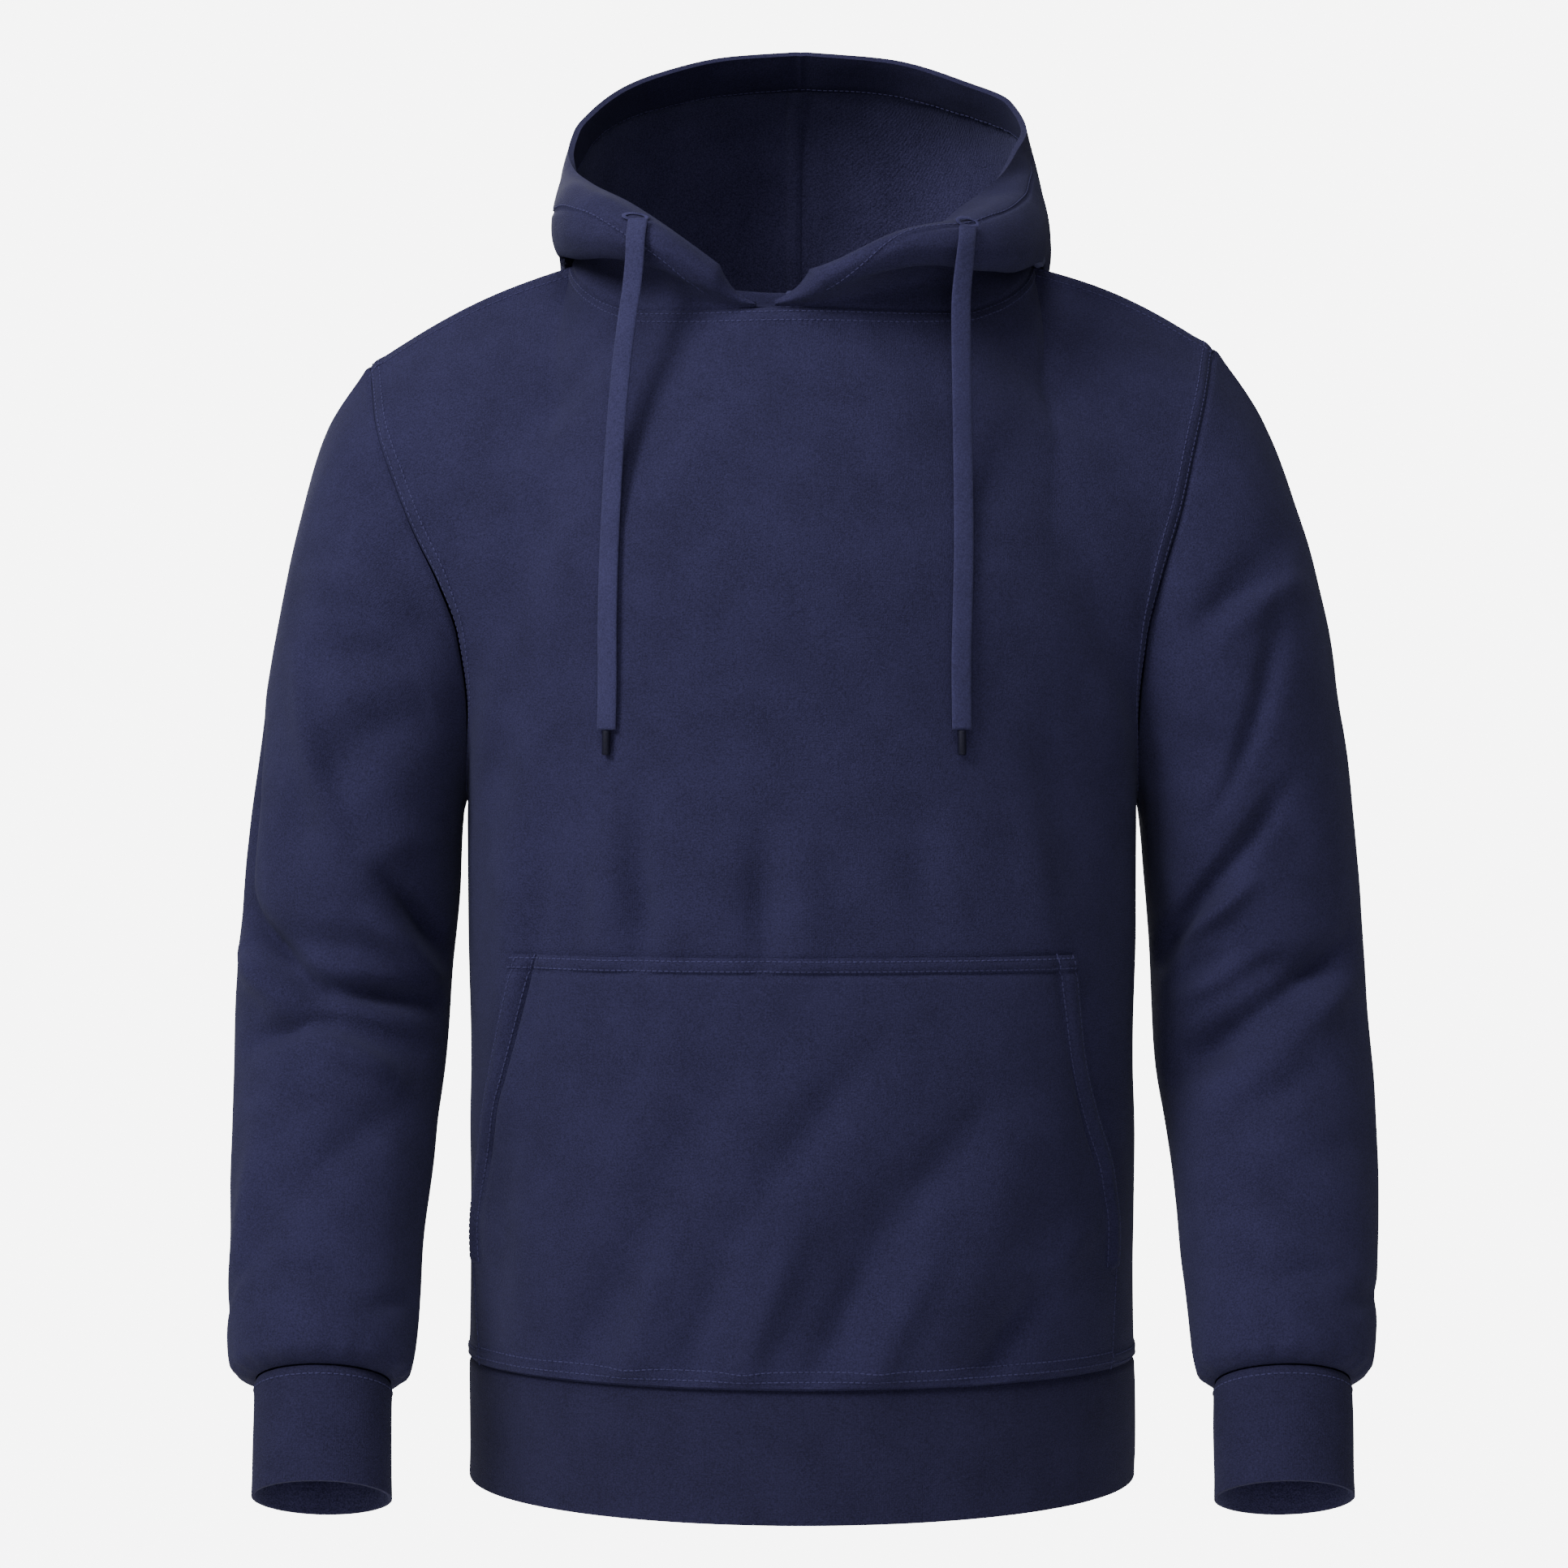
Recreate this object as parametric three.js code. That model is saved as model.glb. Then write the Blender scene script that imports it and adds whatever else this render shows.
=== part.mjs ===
// Pullover hoodie in fleece-backed jersey, filled out as if worn by nobody.
// Millimetres, +Z up. The wearer faces -Y, the wearer's left is +X. The origin lies in the hollow of the neck,
// level with the shoulders: every piece is a cloth wall round that hollow.
import * as THREE from "three";

// Cloth and sewing
const WALL = 1.7;
const CASING_WALL = 3.2;
const SEAM_GAP = 0.32;
const POCKET_STANDOFF = 1.1;

// Heights of the body's main lines
const HEM_EDGE_Z = -665;
const HEM_DROP = 7.5;
const HEM_SEAM_Z = -602;
const ARMPIT_Z = -292;

// Neck seam: an ellipse round the origin, tilted down to the front
const NECK_HALF_WIDTH = 130;
const NECK_SIDE_Y = 8;
const NECK_FRONT_DEPTH = 96;
const NECK_BACK_DEPTH = 72;
// The hood's two front corners leave this stretch of the neck seam open
const V_RIGHT_TURN = -11.2;
const V_LEFT_TURN = -6.5;

// Cuff size, and how far it leans forward and in at the wrist
const CUFF_LENGTH = 62;
const CUFF_SHIFT_IN = 3;
const CUFF_HALF_DEPTH = 31;
const WRIST_LEAN = 28;

// Drawstrings: flat braid with a bound tip
const CORD_WIDTH = 11;
const CORD_THICK = 2.8;
const TIP_RADIUS = 2.2;
const TIP_LENGTH = 13;

// Faces each piece is divided into
const SHOULDER_COLUMNS = 5;
const NECK_COLUMNS_RIGHT = 7;
const NECK_COLUMNS_LEFT = 8;
const BODY_ROWS_BELOW = 10;
const BODY_ROWS_ABOVE = 10;
const HEM_ROWS = 3;
const CUFF_ROWS = 4;
const HOOD_ROWS_PER_SPAN = 3;
const POCKET_COLUMNS = 16;
const POCKET_ROWS = 10;
const CORD_STEPS = 38;
const CORD_SIDES = 8;

// Body girth: way is 0 at the hem seam and 1 at the armpit
const GIRTH = [
  { way: 0.0, wide: 186, front: 125, back: 114, square: 2.0 },
  { way: 0.2, wide: 185, front: 128, back: 119, square: 2.1 },
  { way: 0.5, wide: 185, front: 131, back: 125, square: 2.2 },
  { way: 0.8, wide: 187, front: 132, back: 128, square: 2.2 },
  { way: 1.0, wide: 187.5, front: 130, back: 128, square: 2.1 },
];

// Armhole seams: way is 1 at the armpit and 2 on top of the shoulder
const ARMHOLE = {
  right: [
    { way: 1.0, x: -187.5, front: 0, back: 0, z: ARMPIT_Z },
    { way: 1.1, x: -184, front: -27, back: 28, z: -266 },
    { way: 1.2, x: -183.5, front: -42, back: 46, z: -243 },
    { way: 1.4, x: -188, front: -58, back: 68, z: -203 },
    { way: 1.55, x: -198, front: -62, back: 74, z: -175 },
    { way: 1.7, x: -213, front: -58, back: 65, z: -144 },
    { way: 1.8, x: -224, front: -50, back: 53, z: -118 },
    { way: 1.9, x: -235.5, front: -35, back: 35, z: -87 },
    { way: 2.0, x: -243.5, front: 2, back: 2, z: -48 },
  ],
  left: [
    { way: 1.0, x: 187.5, front: 0, back: 0, z: ARMPIT_Z },
    { way: 1.1, x: 184.5, front: -27, back: 28, z: -267 },
    { way: 1.2, x: 184.5, front: -41, back: 46, z: -245 },
    { way: 1.4, x: 188, front: -58, back: 68, z: -204 },
    { way: 1.55, x: 196, front: -62, back: 74, z: -171 },
    { way: 1.7, x: 207, front: -58, back: 64, z: -135 },
    { way: 1.8, x: 215, front: -48, back: 50, z: -103 },
    { way: 1.9, x: 224, front: -31, back: 31, z: -70 },
    { way: 2.0, x: 232, front: 2, back: 2, z: -38 },
  ],
};

// Centre lines above the armpit, and how far round the row between the armholes turns, in degrees
const CENTRE = {
  front: [
    { way: 1.0, y: -130, z: ARMPIT_Z, turn: 90 },
    { way: 1.4, y: -127, z: -190, turn: 68 },
    { way: 1.7, y: -111, z: -108, turn: 58 },
    { way: 2.0, y: -88, z: -26.5, turn: 50 },
  ],
  back: [
    { way: 1.0, y: 128, z: ARMPIT_Z, turn: 90 },
    { way: 1.4, y: 121, z: -172, turn: 66 },
    { way: 1.7, y: 103, z: -76, turn: 56 },
    { way: 2.0, y: 80, z: -8, turn: 50 },
  ],
};
const YOKE_START = 1.35;
// The shoulder seams arch this much over the shoulder
const SHOULDER_ARCH = 6;

// Height of the neck seam by its turn from the front centre, in degrees
const NECK_RISE = [
  { turn: 0, z: -26.5 },
  { turn: 22, z: -27 },
  { turn: 42, z: -25.5 },
  { turn: 55, z: -18.4 },
  { turn: 65, z: -10.5 },
  { turn: 75, z: -1.6 },
  { turn: 90, z: 9 },
  { turn: 120, z: 9 },
  { turn: 150, z: -3 },
  { turn: 180, z: -8 },
];

// Sleeve rings from the armhole to the cuff, for the wearer's left: the ring's outer and inner points,
// the y of its centre, half its depth and how far it leans forward
const SLEEVE = [
  { way: 0.0, outX: 238, outZ: -43, inX: 187.5, inZ: ARMPIT_Z, y: 6, depth: 67, lean: 0 },
  { way: 0.08, outX: 263, outZ: -81, inX: 189.8, inZ: -302, y: 6, depth: 73, lean: 0 },
  { way: 0.18, outX: 281, outZ: -134, inX: 190.2, inZ: -312, y: 6, depth: 76, lean: 0 },
  { way: 0.28, outX: 293, outZ: -186, inX: 190.8, inZ: -322, y: 6, depth: 76, lean: 0 },
  { way: 0.38, outX: 301, outZ: -238, inX: 191.8, inZ: -336, y: 6, depth: 73, lean: 0 },
  { way: 0.48, outX: 308.5, outZ: -293, inX: 193.6, inZ: -357, y: 7, depth: 69, lean: 0 },
  { way: 0.57, outX: 313.5, outZ: -349, inX: 196.4, inZ: -389, y: 6, depth: 64, lean: 2 },
  { way: 0.66, outX: 315.5, outZ: -404, inX: 198.6, inZ: -428, y: -3, depth: 59, lean: 9 },
  { way: 0.75, outX: 315, outZ: -462, inX: 202, inZ: -473, y: -27, depth: 53, lean: 20 },
  { way: 0.83, outX: 312.5, outZ: -508, inX: 205, inZ: -514, y: -52, depth: 49, lean: 26 },
  { way: 0.91, outX: 309, outZ: -552, inX: 206.5, inZ: -556, y: -77, depth: 46, lean: WRIST_LEAN },
  { way: 0.965, outX: 306.5, outZ: -583, inX: 207.5, inZ: -584, y: -95, depth: 43, lean: WRIST_LEAN },
  { way: 0.985, outX: 304, outZ: -594, inX: 209.5, inZ: -595, y: -101, depth: 40, lean: WRIST_LEAN },
  { way: 1.0, outX: 291.5, outZ: -601, inX: 218, inZ: -601, y: -105, depth: CUFF_HALF_DEPTH, lean: WRIST_LEAN },
];
const SLEEVE_BLEND = 0.34;
const SLEEVE_WAYS = [
  0, 0.035, 0.075, 0.12, 0.17, 0.22, 0.27, 0.32, 0.37, 0.42, 0.47, 0.52, 0.57, 0.61, 0.65, 0.69, 0.73, 0.77,
  0.81, 0.85, 0.89, 0.925, 0.955, 0.975, 0.99, 1,
];

// Hood: control points of its section at each share of the neck seam, from the front corner to the back centre.
// The cloth rises inside the neck, rolls out over the seam, turns up at the fold and climbs to the rim.
const HOOD_SECTIONS = [
  { share: 0.0, rise: [25.5, -87.5, -25], roll: [26, -88.5, -24], fold: [26.5, -90, -23], low: [26.5, -90.5, -22], mid: [26.5, -90.5, -21], high: [26.2, -90, -20] },
  { share: 0.08, rise: [54, -79, -23], roll: [51, -87, -20], fold: [48, -95, -18.5], low: [47, -98.5, -14], mid: [46, -98, -10], high: [45, -95.5, -7.5] },
  { share: 0.16, rise: [80, -63, -13], roll: [77, -76, -5], fold: [74, -93, -8], low: [73, -101, 0], mid: [71, -100, 7], high: [69.5, -95, 11] },
  { share: 0.25, rise: [100, -42, -1], roll: [98, -56, 9], fold: [101, -80, 0], low: [103, -91, 8], mid: [101, -89, 20], high: [97, -81, 28] },
  { share: 0.36, rise: [117, -14, 17], roll: [117, -28, 24], fold: [123, -46, 5], low: [129, -56, 14], mid: [128, -56, 31], high: [122, -49, 44] },
  { share: 0.447, rise: [121, 5, 26], roll: [127, 0, 31], fold: [135, -8, 12], low: [139.3, -10, 22], mid: [138.5, -11, 42], high: [134, -11, 55] },
  { share: 0.52, rise: [119, 19, 29], roll: [126, 21, 32], fold: [135, 24, 12], low: [139.5, 24, 22], mid: [139, 23, 44], high: [136, 19, 64] },
  { share: 0.59, rise: [113, 36, 31], roll: [121, 42, 29], fold: [134, 52, 0], low: [138.5, 58, 13], mid: [137, 58, 44], high: [133, 50, 74] },
  { share: 0.66, rise: [103, 52, 28], roll: [112, 62, 19], fold: [125, 78, -26], low: [133, 90, -8], mid: [133, 95, 40], high: [127, 82, 84] },
  { share: 0.73, rise: [90, 64, 20], roll: [101, 78, 2], fold: [113, 98, -54], low: [122, 118, -36], mid: [124, 130, 28], high: [117, 111, 92] },
  { share: 0.8, rise: [71, 74, 13], roll: [82, 89, -12], fold: [94, 116, -86], low: [103, 144, -70], mid: [107, 160, 10], high: [100, 137, 94] },
  { share: 0.905, rise: [38, 83, 4], roll: [45, 100, -27], fold: [53, 134, -130], low: [57, 174, -118], mid: [60, 196, -8], high: [54, 163, 98] },
  { share: 1.0, rise: [0, 87, 2], roll: [0, 103, -34], fold: [0, 141, -148], low: [0, 188, -136], mid: [0, 210, -14], high: [0, 172, 100] },
];

// Rim of the hood, the edge of its opening, on each side
const RIM = {
  right: [
    { share: 0.0, x: -26.5, y: -89, z: -19 },
    { share: 0.08, x: -44.3, y: -92, z: -5 },
    { share: 0.16, x: -68, y: -88, z: 13 },
    { share: 0.25, x: -92, y: -72, z: 31 },
    { share: 0.36, x: -115.7, y: -40, z: 47.5 },
    { share: 0.447, x: -127.7, y: -10, z: 61 },
    { share: 0.52, x: -132, y: 15, z: 75.5 },
    { share: 0.59, x: -130, y: 40, z: 91 },
    { share: 0.66, x: -120.5, y: 62, z: 107.5 },
    { share: 0.73, x: -104, y: 80, z: 123.5 },
    { share: 0.8, x: -83.5, y: 93, z: 134.5 },
    { share: 0.905, x: -44, y: 104, z: 146 },
    { share: 1.0, x: 0, y: 108, z: 150 },
  ],
  left: [
    { share: 0.0, x: -14.8, y: -88.5, z: -15 },
    { share: 0.08, x: 4, y: -92, z: -7 },
    { share: 0.16, x: 30, y: -94, z: -2 },
    { share: 0.25, x: 61, y: -86, z: 8.5 },
    { share: 0.36, x: 84, y: -66, z: 29 },
    { share: 0.447, x: 99, y: -44, z: 42.5 },
    { share: 0.52, x: 111.5, y: -24, z: 56 },
    { share: 0.59, x: 120.5, y: 0, z: 72 },
    { share: 0.66, x: 128, y: 28, z: 90 },
    { share: 0.73, x: 121, y: 66, z: 113 },
    { share: 0.8, x: 97, y: 87, z: 128 },
    { share: 0.905, x: 52, y: 103, z: 144.5 },
    { share: 1.0, x: 0, y: 108, z: 150 },
  ],
};

// Kangaroo pocket: how far round the front each side edge lies, in degrees from the centre
const POCKET_TOP_Z = -374;
const POCKET_EDGES = [
  { z: -600, right: -71, left: 64 },
  { z: -560, right: -75, left: 65.5 },
  { z: -532, right: -77, left: 66.5 },
  { z: -495, right: -72, left: 64.5 },
  { z: -465, right: -66, left: 59.5 },
  { z: -430, right: -60, left: 54 },
  { z: -374, right: -53, left: 48.5 },
];

// Largest folds: a line from one end to the other, its half width, and its lift out of the cloth
// On the body, x is the place across and z the height
const FOLDS = {
  front: [
    { x0: -48, z0: -505, x1: -104, z1: -590, half: 17, lift: -4.5 },
    { x0: 0, z0: -475, x1: -78, z1: -598, half: 20, lift: 4 },
    { x0: 72, z0: -446, x1: -10, z1: -590, half: 18, lift: -4 },
    { x0: 110, z0: -480, x1: 64, z1: -596, half: 18, lift: 4 },
    { x0: -146, z0: -280, x1: -160, z1: -350, half: 16, lift: 5 },
    { x0: -88, z0: -330, x1: -84, z1: -372, half: 12, lift: -4 },
    { x0: -24, z0: -318, x1: -22, z1: -372, half: 12, lift: -3.5 },
    { x0: 150, z0: -130, x1: 176, z1: -240, half: 16, lift: -4 },
    { x0: -150, z0: -120, x1: -168, z1: -230, half: 16, lift: -4 },
  ],
  back: [
    { x0: -60, z0: -470, x1: -120, z1: -580, half: 20, lift: -4 },
    { x0: 40, z0: -430, x1: -30, z1: -560, half: 22, lift: 4 },
    { x0: 120, z0: -400, x1: 60, z1: -540, half: 20, lift: -4 },
    { x0: 150, z0: -140, x1: 165, z1: -250, half: 18, lift: -5 },
    { x0: -150, z0: -140, x1: -165, z1: -250, half: 18, lift: -5 },
  ],
};
// On a sleeve, turn is degrees round the arm from the inside over the front, and way runs from armhole to cuff
const SLEEVE_FOLDS = {
  right: [
    { turn0: 62, way0: 0.12, turn1: 118, way1: 0.5, half: 15, lift: -6 },
    { turn0: 40, way0: 0.3, turn1: 84, way1: 0.5, half: 13, lift: 4 },
    { turn0: 50, way0: 0.56, turn1: 140, way1: 0.6, half: 12, lift: -5 },
    { turn0: 40, way0: 0.68, turn1: 130, way1: 0.66, half: 11, lift: -5 },
    { turn0: 60, way0: 0.78, turn1: 150, way1: 0.74, half: 11, lift: -3.5 },
    { turn0: 230, way0: 0.2, turn1: 280, way1: 0.5, half: 17, lift: -5 },
    { turn0: 210, way0: 0.62, turn1: 300, way1: 0.68, half: 13, lift: -4 },
  ],
  left: [
    { turn0: 96, way0: 0.06, turn1: 150, way1: 0.17, half: 11, lift: -4.5 },
    { turn0: 60, way0: 0.16, turn1: 112, way1: 0.48, half: 15, lift: -5 },
    { turn0: 46, way0: 0.58, turn1: 136, way1: 0.63, half: 12, lift: -4.5 },
    { turn0: 50, way0: 0.7, turn1: 136, way1: 0.67, half: 11, lift: -4.5 },
    { turn0: 70, way0: 0.84, turn1: 150, way1: 0.79, half: 11, lift: -3 },
    { turn0: 235, way0: 0.18, turn1: 285, way1: 0.48, half: 17, lift: -5 },
    { turn0: 215, way0: 0.64, turn1: 300, way1: 0.69, half: 13, lift: -4 },
  ],
};

// Drawstring routes, from the eyelet over the rolled hood edge and down the chest
// Slant is how far the flat braid turns to lie along the chest, in degrees
const CORD_ROUTE = {
  right: [
    { x: -88, y: -94.8, z: 19, slant: -8 },
    { x: -89, y: -101, z: 9, slant: -16 },
    { x: -89.5, y: -102.6, z: -3, slant: -20 },
    { x: -91, y: -102, z: -18, slant: -20 },
    { x: -93.5, y: -101.5, z: -35, slant: -20 },
    { x: -96, y: -101, z: -55, slant: -20 },
    { x: -98.5, y: -101, z: -80, slant: -20 },
    { x: -100.5, y: -102, z: -108, slant: -20 },
    { x: -102, y: -105.5, z: -138, slant: -20 },
    { x: -103, y: -111, z: -168, slant: -19 },
    { x: -103.5, y: -113.8, z: -198, slant: -19 },
    { x: -103.5, y: -113.4, z: -228, slant: -20 },
    { x: -104, y: -112.5, z: -254, slant: -22 },
  ],
  left: [
    { x: 88, y: -102.3, z: 14, slant: 27 },
    { x: 87, y: -108.2, z: 5, slant: 31 },
    { x: 85.5, y: -109.5, z: -8, slant: 26 },
    { x: 84, y: -108.8, z: -25, slant: 20 },
    { x: 84, y: -107.3, z: -45, slant: 16 },
    { x: 84.5, y: -105.8, z: -70, slant: 16 },
    { x: 85, y: -104.8, z: -100, slant: 16 },
    { x: 85.2, y: -108, z: -130, slant: 15 },
    { x: 85, y: -114.9, z: -160, slant: 15 },
    { x: 84.2, y: -119.5, z: -190, slant: 15 },
    { x: 83.5, y: -120.2, z: -218, slant: 15 },
    { x: 83.8, y: -120, z: -254, slant: 16 },
  ],
};

const FABRIC = new THREE.MeshStandardMaterial({ color: "#363a60", roughness: 0.95, metalness: 0 });
const RIB = new THREE.MeshStandardMaterial({ color: "#2f3354", roughness: 0.95, metalness: 0 });
const BRAID = new THREE.MeshStandardMaterial({ color: "#43486f", roughness: 0.85, metalness: 0 });
const TIP = new THREE.MeshStandardMaterial({ color: "#22253c", roughness: 0.5, metalness: 0 });

// The wearer's left and right, and the sign of x there
const SIDES = { left: 1, right: -1 };

const radians = THREE.MathUtils.degToRad;
const clamp = THREE.MathUtils.clamp;
const easeIn = (share) => THREE.MathUtils.smoothstep(share, 0, 1);
const vec = (x, y, z) => new THREE.Vector3(x, y, z);

// A smooth curve through one column of a table, with no overshoot between its rows
function through(table, key, column) {
  const at = table.map((row) => row[key]);
  const value = table.map((row) => row[column]);
  const rise = at.slice(1).map((next, i) => (value[i + 1] - value[i]) / (next - at[i]));
  const slope = at.map((_, i) => {
    if (i === 0) return rise[0];
    if (i === at.length - 1) return rise[i - 1];
    if (rise[i - 1] * rise[i] <= 0) return 0;
    return (2 * rise[i - 1] * rise[i]) / (rise[i - 1] + rise[i]);
  });
  return (wanted) => {
    const place = clamp(wanted, at[0], at[at.length - 1]);
    let i = 0;
    while (i < at.length - 2 && place > at[i + 1]) i += 1;
    const span = at[i + 1] - at[i];
    const t = (place - at[i]) / span;
    const bend = t * t * (3 - 2 * t);
    return value[i] * (1 - bend) + value[i + 1] * bend
      + span * (slope[i] * t * (1 - t) ** 2 - slope[i + 1] * t * t * (1 - t));
  };
}

// Every column of a table as a curve of its key
function curvesOf(table, key) {
  const columns = Object.keys(table[0]).filter((name) => name !== key);
  return Object.fromEntries(columns.map((name) => [name, through(table, key, name)]));
}

const girth = curvesOf(GIRTH, "way");
const armhole = { right: curvesOf(ARMHOLE.right, "way"), left: curvesOf(ARMHOLE.left, "way") };
const centre = { front: curvesOf(CENTRE.front, "way"), back: curvesOf(CENTRE.back, "way") };
const neckRise = through(NECK_RISE, "turn", "z");
const sleeve = curvesOf(SLEEVE, "way");
const rim = { right: curvesOf(RIM.right, "share"), left: curvesOf(RIM.left, "share") };
const pocketEdge = curvesOf(POCKET_EDGES, "z");

// A point of the neck seam, by its turn from the front centre: negative on the wearer's right
function neckPoint(turn) {
  const angle = radians(turn);
  const depth = Math.cos(angle) > 0 ? NECK_FRONT_DEPTH : NECK_BACK_DEPTH;
  return vec(
    NECK_HALF_WIDTH * Math.sin(angle),
    NECK_SIDE_Y - depth * Math.cos(angle),
    neckRise(Math.abs(turn)),
  );
}

// How far a list of folds lifts the cloth at a place
function foldLift(folds, across, up) {
  let lift = 0;
  for (const fold of folds) {
    const runX = fold.x1 - fold.x0;
    const runZ = fold.z1 - fold.z0;
    const share = ((across - fold.x0) * runX + (up - fold.z0) * runZ) / (runX ** 2 + runZ ** 2);
    const along = clamp(share, 0, 1);
    const off = Math.hypot(across - fold.x0 - runX * along, up - fold.z0 - runZ * along);
    lift += fold.lift * (0.4 + 0.6 * Math.sin(Math.PI * along)) * Math.exp(-((off / fold.half) ** 2));
  }
  return lift;
}

// The columns of a body panel's top edge: shoulder seams outside, neck seam between
const FRONT_STOPS = [
  { column: 0, turn: null },
  { column: SHOULDER_COLUMNS, turn: -90 },
  { column: SHOULDER_COLUMNS + NECK_COLUMNS_RIGHT, turn: V_RIGHT_TURN },
  { column: SHOULDER_COLUMNS + NECK_COLUMNS_RIGHT + 1, turn: V_LEFT_TURN },
  { column: SHOULDER_COLUMNS + NECK_COLUMNS_RIGHT + 1 + NECK_COLUMNS_LEFT, turn: 90 },
];
const BODY_COLUMNS = 2 * SHOULDER_COLUMNS + NECK_COLUMNS_RIGHT + 1 + NECK_COLUMNS_LEFT;
const BACK_STOPS = [
  { column: 0, turn: null },
  { column: SHOULDER_COLUMNS, turn: 90 },
  { column: BODY_COLUMNS - SHOULDER_COLUMNS, turn: 270 },
];

// The top edge of a panel at a column, from its first side's armhole to its last side's
function topEdge(stops, firstSide, lastSide, column) {
  const neck = stops.slice(1);
  const first = neck[0];
  const last = neck[neck.length - 1];
  const tip = (side) => vec(armhole[side].x(2), armhole[side].front(2), armhole[side].z(2));
  const folded = (turn) => neckPoint(turn > 180 ? turn - 360 : turn);
  const shoulder = (side, turn, share) => {
    const point = tip(side).lerp(folded(turn), share);
    point.z += SHOULDER_ARCH * Math.sin(Math.PI * share);
    return point;
  };
  if (column <= first.column) return shoulder(firstSide, first.turn, column / first.column);
  if (column >= last.column) {
    return shoulder(lastSide, last.turn, (BODY_COLUMNS - column) / (BODY_COLUMNS - last.column));
  }
  const at = neck.findIndex((stop, i) => i > 0 && column <= stop.column);
  const share = (column - neck[at - 1].column) / (neck[at].column - neck[at - 1].column);
  return folded(THREE.MathUtils.lerp(neck[at - 1].turn, neck[at].turn, share));
}

// A row of a panel above the armpit, before the yoke bends it up to the top edge
function chestPoint(face, firstSide, lastSide, way, place) {
  const line = centre[face];
  const half = radians(line.turn(way));
  const angle = place * half;
  const side = armhole[place < 0 ? firstSide : lastSide];
  const edgeY = side[face](way);
  const roundness = (1 - Math.cos(angle)) / (1 - Math.cos(half));
  return vec(
    side.x(way) * Math.abs(Math.sin(angle)) / Math.sin(half),
    line.y(way) + (edgeY - line.y(way)) * roundness,
    line.z(way) + (side.z(way) - line.z(way)) * place ** 2,
  );
}

// A point of the round body below the armpit; turn is degrees from the front centre, positive to the left
function roundPoint(way, turn) {
  const angle = radians(turn);
  const power = 2 / girth.square(way);
  const sine = Math.sin(angle);
  const cosine = Math.cos(angle);
  const depth = cosine > 0 ? girth.front(way) : girth.back(way);
  return vec(
    girth.wide(way) * Math.sign(sine) * Math.abs(sine) ** power,
    -depth * Math.sign(cosine) * Math.abs(cosine) ** power,
    THREE.MathUtils.lerp(HEM_SEAM_Z, ARMPIT_Z, way),
  );
}

// The front or back panel: way runs 0 to 2 from hem seam to top, column 0 to BODY_COLUMNS
const PANELS = {
  front: { stops: FRONT_STOPS, first: "right", last: "left", startTurn: -90, folds: FOLDS.front },
  back: { stops: BACK_STOPS, first: "left", last: "right", startTurn: 90, folds: FOLDS.back },
};
function panelPoint(face, way, column) {
  const { stops, first, last, startTurn, folds } = PANELS[face];
  const place = (2 * column) / BODY_COLUMNS - 1;
  const turn = startTurn + (180 * column) / BODY_COLUMNS;
  let point = roundPoint(Math.min(way, 1), turn);
  if (way > 1) {
    const flat = chestPoint(face, first, last, way, place);
    const top = chestPoint(face, first, last, 2, place);
    const yoke = clamp((way - YOKE_START) / (2 - YOKE_START), 0, 1) ** 2;
    point = flat.addScaledVector(topEdge(stops, first, last, column).sub(top), yoke);
  }
  const fade = easeIn((1 - Math.abs(place)) / 0.16) * easeIn(way / 0.1) * easeIn((2 - way) / 0.3);
  const outward = vec(Math.sin(radians(turn)), -Math.cos(radians(turn)), 0);
  return point.addScaledVector(outward, fade * foldLift(folds, point.x, point.z));
}

// The armhole seam as a closed ring from the armpit up the front and down the back, share 0 to 1
function armholePoint(side, share) {
  const way = share < 0.5 ? 1 + 2 * share : 3 - 2 * share;
  const face = share < 0.5 ? "front" : "back";
  return vec(armhole[side].x(way), armhole[side][face](way), armhole[side].z(way));
}

// A ring of the sleeve as an ellipse between its outer and inner points
function sleeveRing(side, way, share) {
  const sign = SIDES[side];
  const outer = vec(sign * sleeve.outX(way), 0, sleeve.outZ(way));
  const inner = vec(sign * sleeve.inX(way), 0, sleeve.inZ(way));
  const lean = radians(sleeve.lean(way));
  const middle = outer.clone().add(inner).multiplyScalar(0.5).setY(sleeve.y(way));
  const inward = inner.sub(outer).multiplyScalar(0.5);
  const forward = vec(0, -Math.cos(lean), Math.sin(lean)).multiplyScalar(sleeve.depth(way));
  const angle = 2 * Math.PI * share;
  return middle.addScaledVector(inward, Math.cos(angle)).addScaledVector(forward, Math.sin(angle));
}

const ARM_LENGTH = 600;
function sleeveFoldLift(side, way, share) {
  const turn = 360 * share;
  const across = (sleeve.depth(way) * Math.PI) / 180;
  const flat = SLEEVE_FOLDS[side].map((fold) => ({
    x0: fold.turn0 * across,
    z0: fold.way0 * ARM_LENGTH,
    x1: fold.turn1 * across,
    z1: fold.way1 * ARM_LENGTH,
    half: fold.half,
    lift: fold.lift,
  }));
  return foldLift(flat, turn * across, way * ARM_LENGTH);
}

function sleevePoint(side, way, share) {
  const point = sleeveRing(side, way, share);
  const middle = sleeveRing(side, way, 0).add(sleeveRing(side, way, 0.5)).multiplyScalar(0.5);
  const outward = point.clone().sub(middle).normalize();
  const hold = (1 - Math.min(way / SLEEVE_BLEND, 1)) ** 2;
  const fade = easeIn(way / 0.1) * easeIn((0.95 - way) / 0.1);
  point.addScaledVector(armholePoint(side, share).sub(sleeveRing(side, 0, share)), hold);
  return point.addScaledVector(outward, fade * sleeveFoldLift(side, way, share));
}

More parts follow.
